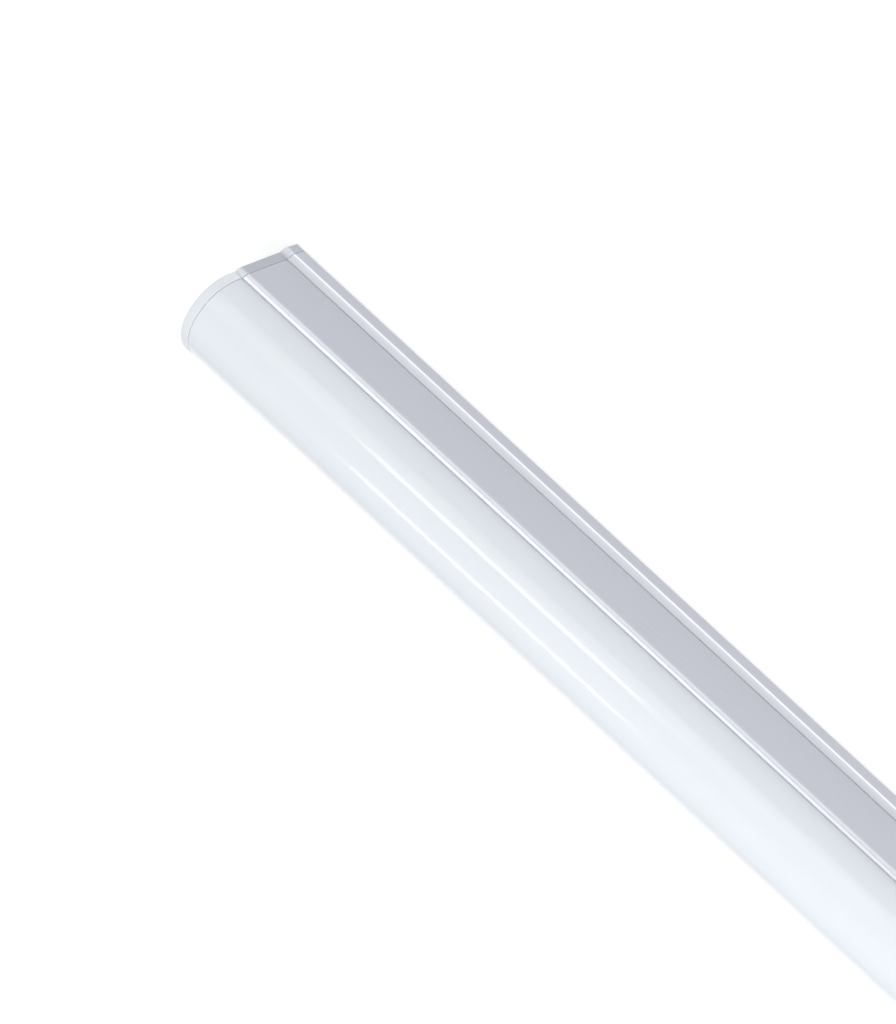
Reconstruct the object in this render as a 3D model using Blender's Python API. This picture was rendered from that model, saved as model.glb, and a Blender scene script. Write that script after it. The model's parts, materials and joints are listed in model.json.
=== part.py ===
"""LED light tube: a linkable batten with an aluminium back, an opal cover and its driver inside.

Blender 4.5, metres, +Z up. The tube lies along X on its flat back. The origin is the centre of that back
face, so Z is the distance from the ceiling, wall or shelf that the tube is fastened to.
The design is written in millimetres and scaled once, where a mesh is made.
Pieces of the right-hand end (+X) are drawn in place; the left-hand end is the same pieces turned half a
turn about Z.
"""

import math

import bmesh
import bpy
from mathutils import Vector

MM = 0.001

# --- overall sizes -------------------------------------------------------------------------------------
LENGTH = 600.0  # over both end caps
DOME_RADIUS = 13.0  # outside of the cover: a 26 mm tube
DOME_Z = 24.0  # height of the dome's centre above the back
FIT = 0.3  # gap between a piece and its seat
TIGHT = 0.1  # gap round a pressed-in pin, a screw in its port, or a soldered part

# --- aluminium back, outside: how far each stands out beyond the dome ------------------------------------
LEDGE_OUT = -0.3  # ledge under the cover's edge
PANEL_OUT = 0.8
LIP_OUT = 1.75  # crest of the clip lip
BACK_OUT = 1.35
LEDGE_DROP = 1.8  # from the dome's centre down to the ledge
SHOULDER_DROP = 0.9  # from the ledge down to the rounded shoulder
SHOULDER_ROUND = 2.4
LIP_Z = 3.9
LIP_ROUND = 0.6
BACK_ROUND = 1.0
RAMP_TOP_Z = 6.35  # top of the ramp that climbs from the lip to the side panel
NOTCH_DEPTH = 0.4  # fine V groove between ramp and panel
NOTCH_HEIGHT = 0.75

# --- aluminium back, inside ----------------------------------------------------------------------------
WALL = 1.3
FLOOR = 1.4
WEB = 1.2  # shelf that carries the light board
BAY_ROUND = 0.8
RAIL = 1.0  # wall of the rail that the cover hooks over
RAIL_HOOK = 0.6
HOOK_HEIGHT = 0.9
RAIL_LIP = 0.8  # lip that holds the light board down
RAIL_LIP_HEIGHT = 0.7
BOARD_PLAY = 0.4

# --- screw ports and end caps --------------------------------------------------------------------------
SCREW_RADIUS = 1.0  # core of the self-tapping screw
SCREW_LENGTH = 12.0
SCREW_HEAD_RADIUS = 1.9
SCREW_HEAD = 1.5
SCREW_POINT = 1.6
CROSS = 1.0  # half-length and half-width of the arms of the cross recess
CROSS_ARM = 0.25
CROSS_DEPTH = 0.8
PORT_WALL = 0.8
PORT_INSET = 1.65  # from the side wall to the port's centre
PORT_SLOT = 0.9
CAP = 3.0  # visible depth of the cap
CAP_PROUD = 0.15  # the cap stands this much outside the body
CAP_ROUND = 0.5
CAP_RIB = 1.2
CAP_RIB_DEPTH = 4.0
COLLAR_WALL = 1.5
COLLAR_DEPTH = 6.0

# --- mains sockets -------------------------------------------------------------------------------------
CAVITY_HALF_Y = 6.0
CAVITY_HALF_Z = 3.6
CAVITY_KEY = 1.8  # cut-off upper corners that key the plug
CAVITY_DEPTH = 9.0
SOCKET_WALL = 0.9
SOCKET_BACK = 5.6
PIN_RADIUS = 0.8
PIN_PITCH = 4.0
PIN_LENGTH = 14.8
PIN_RECESS = 4.8  # from the socket's front to the pin's tip
PIN_ROLES = ((1, "live"), (0, "earth"), (-1, "neutral"))  # place across the socket
PLATE_SEAT = 1.4  # depth of the blanking plug's seat in the cap
PLATE = 1.1
PLATE_ROUND = 1.2
PLATE_MARGIN_Y = 0.7  # how far the plate reaches past the socket
PLATE_MARGIN_Z = 1.6
SKIRT_WALL = 0.9
NAIL_GROOVE = 0.6

# --- earth bond ----------------------------------------------------------------------------------------
LUG_RADIUS = 2.3
LUG = 0.6
LUG_POCKET = 1.0
LUG_TAIL = 7.5
LUG_TAIL_HALF = 1.2

# --- light board ---------------------------------------------------------------------------------------
BOARD = 1.2
LED_COUNT = 38
LED_LENGTH = 3.5
LED_WIDTH = 2.8
LED_HEIGHT = 0.8
TRACK = 0.2  # thickness of the copper track that joins the LEDs

# --- cover ---------------------------------------------------------------------------------------------
COVER_WALL = 1.2
EDGE_DROP = 0.8  # from the dome's centre down to where the cover's skirt turns in
EDGE_CHAMFER = 0.4

# --- driver --------------------------------------------------------------------------------------------
DRIVER_LENGTH = 138.0
DRIVER_BOARD = 1.6
SOLDER_ROOM = 1.0  # under the driver board
SLEEVE_LENGTH = 148.0
SLEEVE_WALL = 0.4
SLEEVE_ROUND = 1.6
SLEEVE_BOTTOM = 5.3
WIRE_ROOM = 13.0  # between the sleeve and the inlet's pins
CORE_HALF_X = 7.0  # transformer core, lying flat
CORE_HALF_Y = 6.2
CORE_HEIGHT = 5.4
CORE_YOKE = 1.8
CORE_LEG = 2.2  # half-width of the middle leg
WINDING = 1.6  # thickness of the winding above and below the leg

# --- wiring --------------------------------------------------------------------------------------------
MAINS_WIRE = 2.0  # diameters over the insulation
DRIVER_WIRE = 1.4
OUTPUT_WIRE = 1.2
STRAIGHT = 40.0  # longest stretch of wire that is bent smoothly
GROMMET_SPACE = 10.0  # from the sleeve's end to the grommet
GROMMET_Y = 5.6
GROMMET_HOLE = 1.6
GROMMET_WAIST = 2.2
GROMMET_FLANGE = 2.9
GROMMET_LIP = 0.7

# --- places worked out from the sizes above -------------------------------------------------------------
HALF = LENGTH / 2
BODY_END = HALF - CAP - FIT  # end of the aluminium back and of the cover
PANEL_HALF = DOME_RADIUS + PANEL_OUT
LEDGE_HALF = DOME_RADIUS + LEDGE_OUT
LEDGE_Z = DOME_Z - LEDGE_DROP
COVER_EDGE_Z = DOME_Z - EDGE_DROP
COVER_INNER = DOME_RADIUS - COVER_WALL
RAIL_OUTER = COVER_INNER - FIT - RAIL_HOOK
SLOT_HALF = RAIL_OUTER - RAIL
BOARD_HALF = SLOT_HALF - BOARD_PLAY
BOARD_TOP = LEDGE_Z + TIGHT
BOARD_Z = BOARD_TOP - BOARD
BOARD_END = BODY_END - CAP_RIB_DEPTH - 1.0
SLOT_Z = BOARD_Z - FIT  # top of the web
LIP_BOTTOM_Z = BOARD_TOP + FIT
HOOK_BOTTOM_Z = LEDGE_Z + FIT
RAIL_HOOK_Z = HOOK_BOTTOM_Z + HOOK_HEIGHT + FIT
RAIL_TOP_Z = RAIL_HOOK_Z + HOOK_HEIGHT
BAY_HALF = PANEL_HALF - WALL
BAY_TOP = SLOT_Z - WEB
SOCKET_Z = (FLOOR + BAY_TOP) / 2
PORT_HOLE = SCREW_RADIUS + TIGHT
PORT_RADIUS = PORT_HOLE + PORT_WALL
PORT_Y = BAY_HALF - PORT_INSET
PORT_EDGE = PORT_Y - PORT_RADIUS  # the free width of the bay between the ports
SOCKET_HALF_Y = CAVITY_HALF_Y + SOCKET_WALL
SOCKET_HALF_Z = CAVITY_HALF_Z + SOCKET_WALL
SOCKET_FRONT = HALF - PLATE_SEAT
SOCKET_REAR = SOCKET_FRONT - CAVITY_DEPTH - SOCKET_BACK
PIN_TIP = SOCKET_FRONT - PIN_RECESS
PIN_TAIL = PIN_TIP - PIN_LENGTH
SLEEVE_TOP = BAY_TOP - FIT
SLEEVE_HALF = PORT_EDGE - FIT
DRIVER_X = PIN_TAIL - WIRE_ROOM - SLEEVE_LENGTH / 2
DRIVER_HALF = SLEEVE_HALF - SLEEVE_WALL - FIT
DRIVER_BOARD_Z = SLEEVE_BOTTOM + SLEEVE_WALL + SOLDER_ROOM
DRIVER_TOP = DRIVER_BOARD_Z + DRIVER_BOARD
PART_Z = DRIVER_TOP + FIT  # underside of the driver's components
ROOM = SLEEVE_TOP - SLEEVE_WALL - FIT - PART_Z
WIRE_Z = FLOOR + FIT + MAINS_WIRE / 2
GROMMET_X = DRIVER_X - SLEEVE_LENGTH / 2 - GROMMET_SPACE

ARC_STEP = math.radians(6.0)  # facet angle of the large arcs
SMALL_ARC_STEP = math.radians(22.5)

MATERIALS = {
    "anodised_aluminium": ((0.72, 0.73, 0.77), 0.35, 1.0),
    "opal_cover": ((0.93, 0.95, 0.97), 0.25, 0.0),
    "white_plastic": ((0.90, 0.91, 0.92), 0.35, 0.0),
    "zinc_steel": ((0.66, 0.66, 0.68), 0.30, 1.0),
    "brass": ((0.80, 0.62, 0.28), 0.30, 1.0),
    "white_board": ((0.92, 0.92, 0.90), 0.45, 0.0),
    "led_phosphor": ((0.93, 0.86, 0.45), 0.40, 0.0),
    "green_board": ((0.10, 0.32, 0.16), 0.45, 0.0),
    "clear_sleeve": ((0.82, 0.84, 0.86), 0.25, 0.0),
    "ferrite": ((0.09, 0.09, 0.10), 0.60, 0.0),
    "copper_winding": ((0.62, 0.30, 0.12), 0.35, 1.0),
    "yellow_film": ((0.85, 0.68, 0.12), 0.35, 0.0),
    "black_plastic": ((0.04, 0.04, 0.045), 0.40, 0.0),
    "capacitor_sleeve": ((0.05, 0.07, 0.16), 0.35, 0.0),
    "resistor_body": ((0.24, 0.42, 0.30), 0.50, 0.0),
    "brown_wire": ((0.26, 0.13, 0.06), 0.45, 0.0),
    "blue_wire": ((0.06, 0.22, 0.55), 0.45, 0.0),
    "earth_wire": ((0.30, 0.55, 0.10), 0.45, 0.0),
    "red_wire": ((0.62, 0.05, 0.04), 0.45, 0.0),
    "black_wire": ((0.03, 0.03, 0.03), 0.45, 0.0),
    "grey_rubber": ((0.30, 0.30, 0.31), 0.70, 0.0),
}


# --- making meshes --------------------------------------------------------------------------------------
def clear_scene():
    for obj in list(bpy.data.objects):
        bpy.data.objects.remove(obj, do_unlink=True)


def make_materials():
    """One Principled material for each finish."""
    for name, (colour, roughness, metallic) in MATERIALS.items():
        material = bpy.data.materials.new(name)
        material.use_nodes = True
        shader = material.node_tree.nodes["Principled BSDF"]
        shader.inputs["Base Color"].default_value = (*colour, 1.0)
        shader.inputs["Roughness"].default_value = roughness
        shader.inputs["Metallic"].default_value = metallic


def link(name, data, material):
    obj = bpy.data.objects.new(name, data)
    bpy.context.scene.collection.objects.link(obj)
    if material:
        data.materials.append(bpy.data.materials[material])
    return obj


def mesh_object(name, bm, material=None, smooth=True):
    """Scales a bmesh drawn in millimetres, turns its faces outwards and links it."""
    bmesh.ops.scale(bm, vec=(MM, MM, MM), verts=bm.verts)
    bmesh.ops.recalc_face_normals(bm, faces=bm.faces)
    data = bpy.data.meshes.new(name)
    bm.to_mesh(data)
    bm.free()
    if smooth:
        data.shade_smooth()
        data.set_sharp_from_angle(angle=math.radians(30))
    return link(name, data, material)


def loft(name, rings, material=None):
    """A solid through rings of points, which all have as many points; both ends are closed."""
    bm = bmesh.new()
    made = [[bm.verts.new(p) for p in ring] for ring in rings]
    count = len(rings[0])
    for near, far in zip(made, made[1:]):
        for i in range(count):
            j = (i + 1) % count
            bm.faces.new((near[i], near[j], far[j], far[i]))
    bm.faces.new(made[0])
    bm.faces.new(made[-1])
    return mesh_object(name, bm, material)


def prism(name, outline, x0, x1, material=None):
    """An outline in the YZ plane, extruded along X."""
    return loft(name, [[(x, y, z) for y, z in outline] for x in (x0, x1)], material)


def box(name, x, y, z, material=None, bevel=0.0):
    """A block between pairs of coordinates, with rounded edges if bevel is given."""
    bm = bmesh.new()
    bmesh.ops.create_cube(bm, size=1.0)
    spans = [(min(pair), max(pair)) for pair in (x, y, z)]
    bmesh.ops.scale(bm, vec=[high - low for low, high in spans], verts=bm.verts)
    bmesh.ops.translate(bm, vec=[(high + low) / 2 for low, high in spans], verts=bm.verts)
    if bevel:
        bmesh.ops.bevel(
            bm, geom=bm.edges[:], offset=bevel, segments=2, profile=0.5, affect="EDGES"
        )
    return mesh_object(name, bm, material)


def turned(name, profile, centre, axis, material=None, sides=24):
    """A solid of revolution. The profile's points are (distance along the axis, radius)."""
    rings = []
    for along, radius in profile:
        ring = []
        for i in range(sides):
            angle = math.tau * i / sides
            u, v = radius * math.cos(angle), radius * math.sin(angle)
            offset = {"x": (along, u, v), "y": (v, along, u), "z": (u, v, along)}[axis]
            ring.append(tuple(c + o for c, o in zip(centre, offset)))
        rings.append(ring)
    return loft(name, rings, material)


def ring_solid(name, outer, inner, centre, axis, material=None, sides=24):
    """A turned ring: the outer profile up, then the inner profile back, joined end to end."""
    profile = outer + inner[::-1]
    bm = bmesh.new()
    rings = []
    for along, radius in profile:
        ring = []
        for i in range(sides):
            angle = math.tau * i / sides
            u, v = radius * math.cos(angle), radius * math.sin(angle)
            offset = {"x": (along, u, v), "z": (u, v, along)}[axis]
            ring.append(bm.verts.new([c + o for c, o in zip(centre, offset)]))
        rings.append(ring)
    for near, far in zip(rings, rings[1:] + rings[:1]):
        for i in range(sides):
            j = (i + 1) % sides
            bm.faces.new((near[i], near[j], far[j], far[i]))
    return mesh_object(name, bm, material)


def boolean(obj, tool, operation, keep=False):
    """Cuts or joins a helper with the EXACT solver. The helper itself is never rendered."""
    modifier = obj.modifiers.new(f"{operation.lower()}_{tool.name}", "BOOLEAN")
    modifier.operation = operation
    modifier.solver = "EXACT"
    modifier.object = tool
    tool.hide_render = True
    tool.display_type = "WIRE"
    return obj


def cut(obj, *tools):
    for tool in tools:
        boolean(obj, tool, "DIFFERENCE")
    return obj


def join(obj, *tools):
    for tool in tools:
        boolean(obj, tool, "UNION")
    return obj


def copy_turned(name, source):
    """The same piece at the left-hand end: turned half a turn about Z, sharing its mesh."""
    obj = bpy.data.objects.new(name, source.data)
    bpy.context.scene.collection.objects.link(obj)
    obj.rotation_euler.z = math.pi
    for modifier in source.modifiers:
        tool = bpy.data.objects.new(f"{modifier.object.name}_{name}", modifier.object.data)
        bpy.context.scene.collection.objects.link(tool)
        tool.rotation_euler.z = math.pi
        boolean(obj, tool, modifier.operation)
    return obj


# --- outlines -------------------------------------------------------------------------------------------
def arc(centre, radius, start, end, step=ARC_STEP):
    """Points on an arc, in degrees from +Y towards +Z, both ends included."""
    start, end = math.radians(start), math.radians(end)
    count = max(1, math.ceil(abs(end - start) / step))
    angles = [start + (end - start) * i / count for i in range(count + 1)]
    return [
        (centre[0] + radius * math.cos(a), centre[1] + radius * math.sin(a)) for a in angles
    ]


def rounded(corners):
    """An open run of corners (y, z, radius), each with its radius put in as an arc."""
    points = []
    for i, (y, z, radius) in enumerate(corners):
        if not radius or i in (0, len(corners) - 1):
            points.append((y, z))
            continue
        before, after = corners[i - 1], corners[i + 1]
        back = (before[0] - y, before[1] - z)
        ahead = (after[0] - y, after[1] - z)
        back_length, ahead_length = math.hypot(*back), math.hypot(*ahead)
        back = (back[0] / back_length, back[1] / back_length)
        ahead = (ahead[0] / ahead_length, ahead[1] / ahead_length)
        half_angle = math.acos(back[0] * ahead[0] + back[1] * ahead[1]) / 2
        reach = radius / math.tan(half_angle)
        middle = (back[0] + ahead[0], back[1] + ahead[1])
        scale = radius / math.sin(half_angle) / math.hypot(*middle)
        centre = (y + middle[0] * scale, z + middle[1] * scale)
        first = math.atan2(z + back[1] * reach - centre[1], y + back[0] * reach - centre[0])
        last = math.atan2(z + ahead[1] * reach - centre[1], y + ahead[0] * reach - centre[0])
        turn = (last - first + math.pi) % math.tau - math.pi
        points += arc(centre, radius, math.degrees(first), math.degrees(first + turn), SMALL_ARC_STEP)
    return points


def mirrored(half):
    """A closed outline from its +Y half."""
    return half + [(-y, z) for y, z in reversed(half)]


def flank(grow=0.0):
    """The outside of the aluminium back on the +Y side, from the back face to the ledge.

    A positive grow moves it outwards; the back face itself never moves below Z = 0."""
    return rounded(
        [
            (0.0, max(0.0, -grow), 0),
            (DOME_RADIUS + BACK_OUT + grow, max(0.0, -grow), BACK_ROUND),
            (DOME_RADIUS + LIP_OUT + grow, LIP_Z, LIP_ROUND),
            (PANEL_HALF + grow, RAMP_TOP_Z, 0),
            (PANEL_HALF + grow - NOTCH_DEPTH, RAMP_TOP_Z + NOTCH_HEIGHT / 2, 0),
            (PANEL_HALF + grow, RAMP_TOP_Z + NOTCH_HEIGHT, 0),
            (PANEL_HALF + grow, LEDGE_Z - SHOULDER_DROP, SHOULDER_ROUND),
            (LEDGE_HALF + grow, LEDGE_Z, 0),
        ]
    )[1:]


def back_outline():
    """The aluminium back with the rails that hold the cover and the light board."""
    rail = [
        (RAIL_OUTER, LEDGE_Z),
        (RAIL_OUTER, RAIL_HOOK_Z),
        (RAIL_OUTER + RAIL_HOOK, RAIL_HOOK_Z),
        (RAIL_OUTER + RAIL_HOOK, RAIL_TOP_Z),
        (SLOT_HALF, RAIL_TOP_Z),
        (SLOT_HALF, LIP_BOTTOM_Z + RAIL_LIP_HEIGHT),
        (SLOT_HALF - RAIL_LIP, LIP_BOTTOM_Z + RAIL_LIP_HEIGHT),
        (SLOT_HALF - RAIL_LIP, LIP_BOTTOM_Z),
        (SLOT_HALF, LIP_BOTTOM_Z),
        (SLOT_HALF, SLOT_Z),
    ]
    return mirrored(flank() + rail)


def bay_outline():
    """The driver bay, with a slotted round screw port standing off each side wall."""
    wall_angle = math.degrees(math.acos((BAY_HALF - PORT_Y) / PORT_RADIUS))
    outer_slot = math.degrees(math.asin(PORT_SLOT / 2 / PORT_RADIUS))
    inner_slot = math.degrees(math.asin(PORT_SLOT / 2 / PORT_HOLE))
    centre = (PORT_Y, SOCKET_Z)
    half = rounded([(0, FLOOR, 0), (BAY_HALF, FLOOR, BAY_ROUND), (BAY_HALF, SOCKET_Z, 0)])[1:-1]
    half += arc(centre, PORT_RADIUS, -wall_angle, -180 + outer_slot, SMALL_ARC_STEP)
    half += arc(centre, PORT_HOLE, 180 + inner_slot, 540 - inner_slot, SMALL_ARC_STEP)
    half += arc(centre, PORT_RADIUS, 180 - outer_slot, wall_angle, SMALL_ARC_STEP)
    half += rounded([(BAY_HALF, SOCKET_Z, 0), (BAY_HALF, BAY_TOP, BAY_ROUND), (0, BAY_TOP, 0)])[1:-1]
    return mirrored(half)


def cap_outline(grow):
    """The whole outside, back and dome, with the joint line between them as a groove."""
    groove = [
        (LEDGE_HALF + grow - NOTCH_DEPTH, (LEDGE_Z + COVER_EDGE_Z) / 2),
        (DOME_RADIUS + grow, COVER_EDGE_Z),
    ]
    dome = arc((0, DOME_Z), DOME_RADIUS + grow, 0, 90)
    half = flank(grow) + groove + dome
    return half + [(-y, z) for y, z in reversed(half[:-1])]


def cover_outline():
    """The opal cover: a half tube with straight skirts and an inward hook at each edge."""
    hook_tip = RAIL_OUTER + FIT
    half_outside = [
        (COVER_INNER + COVER_WALL / 2, HOOK_BOTTOM_Z),
        (DOME_RADIUS - EDGE_CHAMFER / 2, COVER_EDGE_Z - EDGE_CHAMFER),
        (DOME_RADIUS, COVER_EDGE_Z),
    ] + arc((0, DOME_Z), DOME_RADIUS, 0, 90)
    half_inside = [
        (hook_tip, HOOK_BOTTOM_Z),
        (hook_tip, HOOK_BOTTOM_Z + HOOK_HEIGHT),
        (COVER_INNER, HOOK_BOTTOM_Z + HOOK_HEIGHT),
    ] + arc((0, DOME_Z), COVER_INNER, 0, 90)
    outside = half_outside + [(-y, z) for y, z in reversed(half_outside[:-1])]
    inside = half_inside + [(-y, z) for y, z in reversed(half_inside[:-1])]
    return outside + inside[::-1]


def socket_outline(half_y, half_z, key):
    """A box section with its two upper corners cut off, so that a plug fits one way up."""
    return [
        (-half_y, SOCKET_Z - half_z),
        (half_y, SOCKET_Z - half_z),
        (half_y, SOCKET_Z + half_z - key),
        (half_y - key, SOCKET_Z + half_z),
        (-half_y + key, SOCKET_Z + half_z),
        (-half_y, SOCKET_Z + half_z - key),
    ]


# --- body -----------------------------------------------------------------------------------------------
def make_back():
    back = prism("base_extrusion", back_outline(), -BODY_END, BODY_END, "anodised_aluminium")
    bay = prism("bay_cutter", bay_outline(), -HALF, HALF)
    hole = grommet_cutter("web_hole_cutter", GROMMET_WAIST + FIT, BAY_TOP, SLOT_Z)
    return cut(back, bay, hole)


def make_cover():
    return prism("diffuser_cover", cover_outline(), -BODY_END, BODY_END, "opal_cover")


def grommet_cutter(name, radius, low, high):
    """Upright cylinder at the place where the output wires pass."""
    return turned(name, [(low - 1, radius), (high + 1, radius)], (GROMMET_X, GROMMET_Y, 0), "z")


def make_light_board():
    x, y, z = (-BOARD_END, BOARD_END), (-BOARD_HALF, BOARD_HALF), (BOARD_Z, BOARD_TOP)
    board = box("led_board", x, y, z, "white_board")
    return cut(board, grommet_cutter("board_hole_cutter", GROMMET_FLANGE + FIT, *z))


def make_led_string():
    """The LEDs and the copper track they are soldered to: a comb outline, extruded across."""
    low = BOARD_TOP + TIGHT
    end = BOARD_END - LED_LENGTH
    pitch = 2 * (end - LED_LENGTH) / (LED_COUNT - 1)
    comb = [(-end, low), (end, low), (end, low + TRACK)]
    for i in reversed(range(LED_COUNT)):
        middle = (i - (LED_COUNT - 1) / 2) * pitch
        near, far = middle + LED_LENGTH / 2, middle - LED_LENGTH / 2
        comb += [(near, low + TRACK), (near, low + LED_HEIGHT)]
        comb += [(far, low + LED_HEIGHT), (far, low + TRACK)]
    comb.append((-end, low + TRACK))
    sides = [[(x, y, z) for x, z in comb] for y in (-LED_WIDTH / 2, LED_WIDTH / 2)]
    return loft("led_string", sides, "led_phosphor")


# --- ends -----------------------------------------------------------------------------------------------
def make_cap():
    """Shell with a rounded outer edge, a collar round the socket and a rib inside the cover."""
    inner_face, outer_face = HALF - CAP, HALF
    steps = [
        (inner_face, CAP_PROUD),
        (outer_face - CAP_ROUND, CAP_PROUD),
        (outer_face - 0.3 * CAP_ROUND, CAP_PROUD - 0.3 * CAP_ROUND),
        (outer_face, CAP_PROUD - CAP_ROUND),
    ]
    rings = [[(x, y, z) for y, z in cap_outline(grow)] for x, grow in steps]
    cap = loft("end_cap_right", rings, "white_plastic")
    collar = prism(
        "collar_tool",
        socket_outline(PORT_EDGE - FIT, SOCKET_HALF_Z + COLLAR_WALL, CAVITY_KEY),
        inner_face - COLLAR_DEPTH,
        inner_face + 1.0,
    )
    centre, rib_outer = (0, DOME_Z), COVER_INNER - FIT
    rib_outline = arc(centre, rib_outer, 12, 168) + arc(centre, rib_outer - CAP_RIB, 168, 12)
    rib = prism("rib_tool", rib_outline, inner_face - CAP_RIB_DEPTH, inner_face + 1.0)
    join(cap, collar, rib)
    opening = socket_outline(SOCKET_HALF_Y + FIT, SOCKET_HALF_Z + FIT, CAVITY_KEY)
    window = prism("window_cutter", opening, inner_face - COLLAR_DEPTH - 1, outer_face + 1)
    seat = prism("seat_cutter", plate_outline(FIT), outer_face - PLATE_SEAT, outer_face + 1)
    cut(cap, window, seat)
    for side, label in ((1, "front"), (-1, "back")):
        centre = (0, side * PORT_Y, SOCKET_Z)
        head = SCREW_HEAD_RADIUS + FIT
        face = outer_face - SCREW_HEAD - FIT
        shank = SCREW_RADIUS + FIT
        profile = [(inner_face - 1, shank), (face, shank), (face, head), (outer_face + 1, head)]
        cut(cap, turned(f"screw_cutter_{label}", profile, centre, "x"))
    pocket = [(inner_face - 1, LUG_RADIUS + FIT), (inner_face + LUG_POCKET, LUG_RADIUS + FIT)]
    cut(cap, turned("lug_cutter", pocket, (0, -PORT_Y, SOCKET_Z), "x"))
    tail_room = box(
        "lug_tail_cutter",
        (inner_face - 1, inner_face + LUG_POCKET),
        (-PORT_Y - LUG_TAIL_HALF - FIT, -PORT_Y + LUG_TAIL_HALF + FIT),
        (SOCKET_Z - LUG_RADIUS - LUG - FIT, SOCKET_Z),
    )
    return cut(cap, tail_room)


def plate_outline(grow):
    """Outline of the blanking plug's plate; its seat in the cap is the same shape, grown."""
    half_y = SOCKET_HALF_Y + PLATE_MARGIN_Y + grow
    half_z = SOCKET_HALF_Z + PLATE_MARGIN_Z + grow
    corner = PLATE_ROUND + grow
    low, high = SOCKET_Z - half_z, SOCKET_Z + half_z
    right = rounded([(0, low, 0), (half_y, low, corner), (half_y, high, corner), (0, high, 0)])
    return mirrored(right[1:-1])


def make_screws(cap_name):
    """Pan-head self-tapping screws, with a cross recess, at the right-hand end."""
    screws = []
    for side, label in ((1, "front"), (-1, "back")):
        seat = HALF - SCREW_HEAD
        profile = [
            (seat - SCREW_LENGTH, 0.25 * SCREW_RADIUS),
            (seat - SCREW_LENGTH + SCREW_POINT, SCREW_RADIUS),
            (seat, SCREW_RADIUS),
            (seat, SCREW_HEAD_RADIUS),
            (seat + 0.7 * SCREW_HEAD, 0.96 * SCREW_HEAD_RADIUS),
            (seat + SCREW_HEAD, 0.7 * SCREW_HEAD_RADIUS),
        ]
        y = side * PORT_Y
        screw = turned(f"{cap_name}_screw_{label}", profile, (0, y, SOCKET_Z), "x", "zinc_steel")
        depth = (HALF - CROSS_DEPTH, HALF + 1)
        for tag, half_y, half_z in (("wide", CROSS, CROSS_ARM), ("tall", CROSS_ARM, CROSS)):
            across = (y - half_y, y + half_y)
            cut(screw, box(f"cross_{tag}_{label}", depth, across, (SOCKET_Z - half_z, SOCKET_Z + half_z)))
        screws.append(screw)
    return screws


def make_socket(name):
    """Moulded socket: a keyed cavity in front, a solid back with holes for three pins."""
    body = socket_outline(SOCKET_HALF_Y, SOCKET_HALF_Z, CAVITY_KEY)
    socket = prism(name, body, SOCKET_REAR, SOCKET_FRONT, "black_plastic")
    floor = SOCKET_FRONT - CAVITY_DEPTH
    for i, role in PIN_ROLES:
        profile = [(SOCKET_REAR - 1, PIN_RADIUS + TIGHT), (floor + 1, PIN_RADIUS + TIGHT)]
        centre = (0, i * PIN_PITCH, SOCKET_Z)
        cut(socket, turned(f"pin_cutter_{role}", profile, centre, "x", sides=16))
    cavity = socket_outline(CAVITY_HALF_Y, CAVITY_HALF_Z, CAVITY_KEY)
    return cut(socket, prism("cavity_cutter", cavity, floor, SOCKET_FRONT + 1))


def make_pins(prefix, side):
    """Three brass pins with rounded tips. Live is on the +Y side at both ends."""
    for i, role in PIN_ROLES:
        profile = [
            (PIN_TAIL, PIN_RADIUS),
            (PIN_TIP - 0.75 * PIN_RADIUS, PIN_RADIUS),
            (PIN_TIP - 0.2 * PIN_RADIUS, 0.75 * PIN_RADIUS),
            (PIN_TIP, 0.35 * PIN_RADIUS),
        ]
        centre = (0, side * i * PIN_PITCH, SOCKET_Z)
        pin = turned(f"{prefix}_pin_{role}", profile, centre, "x", "brass", sides=16)
        if side < 0:
            pin.rotation_euler.z = math.pi


def make_blanking_plug():
    """Cover for the unused socket: a plate flush with the cap and a hollow skirt in the cavity."""
    plate = prism("blanking_plug", plate_outline(0.0), -HALF, -HALF + PLATE, "white_plastic")
    skirt_end = -PIN_TIP - FIT
    half_y, half_z = CAVITY_HALF_Y - FIT, CAVITY_HALF_Z - FIT
    skirt = socket_outline(half_y, half_z, CAVITY_KEY)
    hollow = socket_outline(half_y - SKIRT_WALL, half_z - SKIRT_WALL, CAVITY_KEY - SKIRT_WALL / 2)
    join(plate, prism("skirt_tool", skirt, -HALF + PLATE / 2, skirt_end))
    cut(plate, prism("skirt_cutter", hollow, -HALF + PLATE, skirt_end + 1))
    low = SOCKET_Z + SOCKET_HALF_Z + NAIL_GROOVE
    groove = box(
        "nail_groove_cutter",
        (-HALF - 1, -HALF + NAIL_GROOVE),
        (-CAVITY_HALF_Y / 2, CAVITY_HALF_Y / 2),
        (low, low + NAIL_GROOVE),
    )
    return cut(plate, groove)


# --- earth bond -----------------------------------------------------------------------------------------
def make_earth_lug():
    """Ring tag under the back cap screw, with a tail bent into the bay."""
    face = BODY_END + FIT
    thick = [(face, LUG_RADIUS), (face + LUG, LUG_RADIUS)]
    ring = turned("earth_lug", thick, (0, -PORT_Y, SOCKET_Z), "x", "brass")
    low = SOCKET_Z - LUG_RADIUS - LUG
    y = (-PORT_Y - LUG_TAIL_HALF, -PORT_Y + LUG_TAIL_HALF)
    tail = box("lug_tail_tool", (face - LUG_TAIL, face + LUG), y, (low, low + LUG))
    riser = box("lug_riser_tool", (face, face + LUG), y, (low, low + 2 * LUG))
    hole = [(face - 1, SCREW_RADIUS + FIT), (face + 2, SCREW_RADIUS + FIT)]
    join(ring, riser, tail)
    return cut(ring, turned("lug_hole_cutter", hole, (0, -PORT_Y, SOCKET_Z), "x"))


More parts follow.
